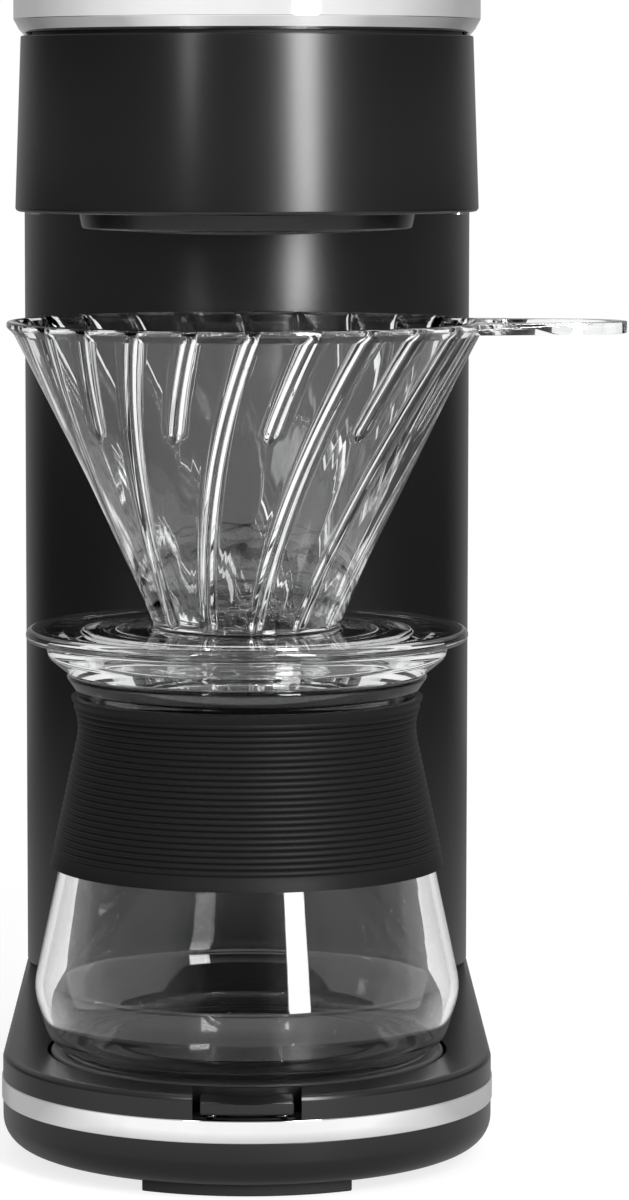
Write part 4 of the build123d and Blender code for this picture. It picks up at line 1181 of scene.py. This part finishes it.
# ---------------------------------------------------------------- studio
class BREWER_OT_studio(bpy.types.Operator):
    """Pale floor that fades into the background, soft lights and the camera"""

    bl_idname = "brewer.studio"
    bl_label = "Studio"

    def execute(self, context):
        studio = context.scene.brewer_studio
        self.make_floor(studio)
        self.make_sky(context)
        for light in (
            ("left_strip", (-0.565, -1.05, 0.78), 0.05, 0.9, studio.left_power),
            ("right_strip", (0.565, -1.05, 0.62), 0.27, 1.1, studio.right_power),
            ("overhead", (0.0, 0.1, 1.4), 0.9, 0.9, studio.top_power),
        ):
            self.make_light(*light)
        self.make_camera(context, studio)
        context.scene.view_settings.view_transform = "Standard"
        return {"FINISHED"}

    def make_floor(self, studio):
        """Round floor, matt near the brewer and as bright as the background further out."""
        radius = studio.floor_radius
        under = -10.0 * MM
        outline = [(0.0, 0.0), (radius, 0.0), (radius, under), (0.0, under)]
        floor = sweep("studio_floor", outline, circle_stations(steps=96))
        made, shader = shader_of("pale_floor", Roughness=0.85)
        tree = made.node_tree
        place = tree.nodes.new("ShaderNodeTexCoord")
        distance = tree.nodes.new("ShaderNodeVectorMath")
        distance.operation = "LENGTH"
        tree.links.new(place.outputs["Object"], distance.inputs[0])
        far = spread_of(tree, distance.outputs["Value"], 0.15, 0.6, 0.0, 1.0)
        colour = tuple(studio.floor_colour)
        tree.links.new(mix_colour(tree, far, colour, (0.0, 0.0, 0.0)),
                       shader.inputs["Base Color"])
        tree.links.new(mix_colour(tree, far, (0.78, 0.78, 0.78), (1.0, 1.0, 1.0)),
                       shader.inputs["Emission Color"])
        rays = tree.nodes.new("ShaderNodeLightPath")
        seen = maths(tree, "MAXIMUM", rays.outputs["Is Camera Ray"],
                     rays.outputs["Is Transmission Ray"])
        split = tree.nodes.new("ShaderNodeSeparateXYZ")
        tree.links.new(place.outputs["Object"], split.inputs["Vector"])
        near_glow = studio.floor_glow
        far_glow = 0.85
        outer = spread_of(tree, distance.outputs["Value"], 0.09, 0.14, near_glow, far_glow)
        front = spread_of(tree, split.outputs["Y"], -0.1, 0.0, far_glow, near_glow)
        glow = maths(tree, "MINIMUM", outer, front)
        tree.links.new(maths(tree, "MAXIMUM", glow, seen), shader.inputs["Emission Strength"])
        shader.inputs["Specular IOR Level"].default_value = 0.0
        floor.data.materials.append(made)

    def make_sky(self, context):
        """White background; as a light it has a low band in front and is pale above and behind."""
        world = bpy.data.worlds.new("studio_light")
        context.scene.world = world
        world.use_nodes = True
        tree = world.node_tree
        background = tree.nodes["Background"]
        place = tree.nodes.new("ShaderNodeTexCoord")
        split = tree.nodes.new("ShaderNodeSeparateXYZ")
        tree.links.new(place.outputs["Generated"], split.inputs["Vector"])
        behind = spread_of(tree, split.outputs["Y"], 0.6, 1.0, 0.03, 0.35)
        above = spread_of(tree, split.outputs["Z"], 0.045, 0.06, 1.0, 0.0)
        below = spread_of(tree, split.outputs["Z"], -0.01, 0.0, 0.0, 1.0)
        ahead = spread_of(tree, split.outputs["Y"], -0.75, 0.6, 1.0, 0.42)
        panel = maths(tree, "MULTIPLY", maths(tree, "MULTIPLY", above, below), ahead)
        overhead = spread_of(tree, split.outputs["Z"], 0.15, 0.35, 0.0, 0.5)
        strength = maths(tree, "MAXIMUM", maths(tree, "MAXIMUM", behind, panel), overhead)
        rays = tree.nodes.new("ShaderNodeLightPath")
        sideways = maths(tree, "ABSOLUTE", split.outputs["X"], 0.0)
        sides = spread_of(tree, sideways, 0.35, 0.75, 0.0, 0.8)
        backwards = maths(tree, "GREATER_THAN", split.outputs["Y"], 0.0)
        through = maths(tree, "MAXIMUM", backwards, sides)
        through = maths(tree, "MULTIPLY", through, rays.outputs["Is Transmission Ray"])
        seen = maths(tree, "MAXIMUM", rays.outputs["Is Camera Ray"], through)
        shown = maths(tree, "MAXIMUM", strength, seen)
        tree.links.new(shown, background.inputs["Strength"])
        background.inputs["Color"].default_value = (1.0, 1.0, 1.0, 1.0)

    def make_light(self, name, place, width, height, power):
        """Rectangular soft light aimed at the middle of the brewer."""
        data = bpy.data.lights.new(name, "AREA")
        data.shape = "RECTANGLE"
        data.size = width
        data.size_y = height
        data.energy = power
        light = bpy.data.objects.new(name, data)
        bpy.context.scene.collection.objects.link(light)
        light.location = place
        aim = Vector((0.0, 0.05, 0.14)) - light.location
        light.rotation_euler = aim.to_track_quat("-Z", "Y").to_euler()

    def make_camera(self, context, studio):
        """Camera in front of the brewer, looking slightly down."""
        data = bpy.data.cameras.new("camera")
        data.lens = studio.camera_lens
        data.sensor_width = 36.0
        data.shift_x = 0.05625
        data.clip_start = 0.05
        camera = bpy.data.objects.new("camera", data)
        context.scene.collection.objects.link(camera)
        camera.location = (0.0, -studio.camera_distance, studio.camera_height)
        camera.rotation_euler = (math.pi / 2 - studio.camera_tilt, 0.0, 0.0)
        context.scene.camera = camera


class BREWER_PT_pieces(bpy.types.Panel):
    """Settings and pieces of the brewer"""

    bl_idname = "BREWER_PT_pieces"
    bl_label = "Coffee brewer"
    bl_space_type = "VIEW_3D"
    bl_region_type = "UI"
    bl_category = "Brewer"

    def draw(self, context):
        for name in setting_groups:
            box = self.layout.box()
            settings = getattr(context.scene, name)
            for label in settings.bl_rna.properties.keys():
                if label not in ("rna_type", "name"):
                    box.prop(settings, label)
        for operator in operators:
            self.layout.operator(operator.bl_idname)


setting_groups = {
    "brewer_casing": BrewerCasing, "brewer_base": BrewerBase, "brewer_server": BrewerServer,
    "brewer_dripper": BrewerDripper, "brewer_finishes": BrewerFinishes,
    "brewer_studio": BrewerStudio,
}
operators = [
    BREWER_OT_inner_parts, BREWER_OT_column, BREWER_OT_head, BREWER_OT_lid, BREWER_OT_base,
    BREWER_OT_hot_plate, BREWER_OT_button, BREWER_OT_front_foot, BREWER_OT_shower,
    BREWER_OT_server, BREWER_OT_sleeve, BREWER_OT_dripper, BREWER_OT_studio,
]


def register():
    """Registers the settings, operators and panel."""
    for name, group in setting_groups.items():
        bpy.utils.register_class(group)
        setattr(bpy.types.Scene, name, PointerProperty(type=group))
    for shown in (*operators, BREWER_PT_pieces):
        bpy.utils.register_class(shown)


def unregister():
    """Removes what register() added."""
    for shown in (BREWER_PT_pieces, *reversed(operators)):
        bpy.utils.unregister_class(shown)
    for name, group in reversed(setting_groups.items()):
        delattr(bpy.types.Scene, name)
        bpy.utils.unregister_class(group)


def main():
    """Builds every piece and the studio in order."""
    register()
    for operator in operators:
        family, name = operator.bl_idname.split(".")
        getattr(getattr(bpy.ops, family), name)()


if __name__ == "__main__":
    main()
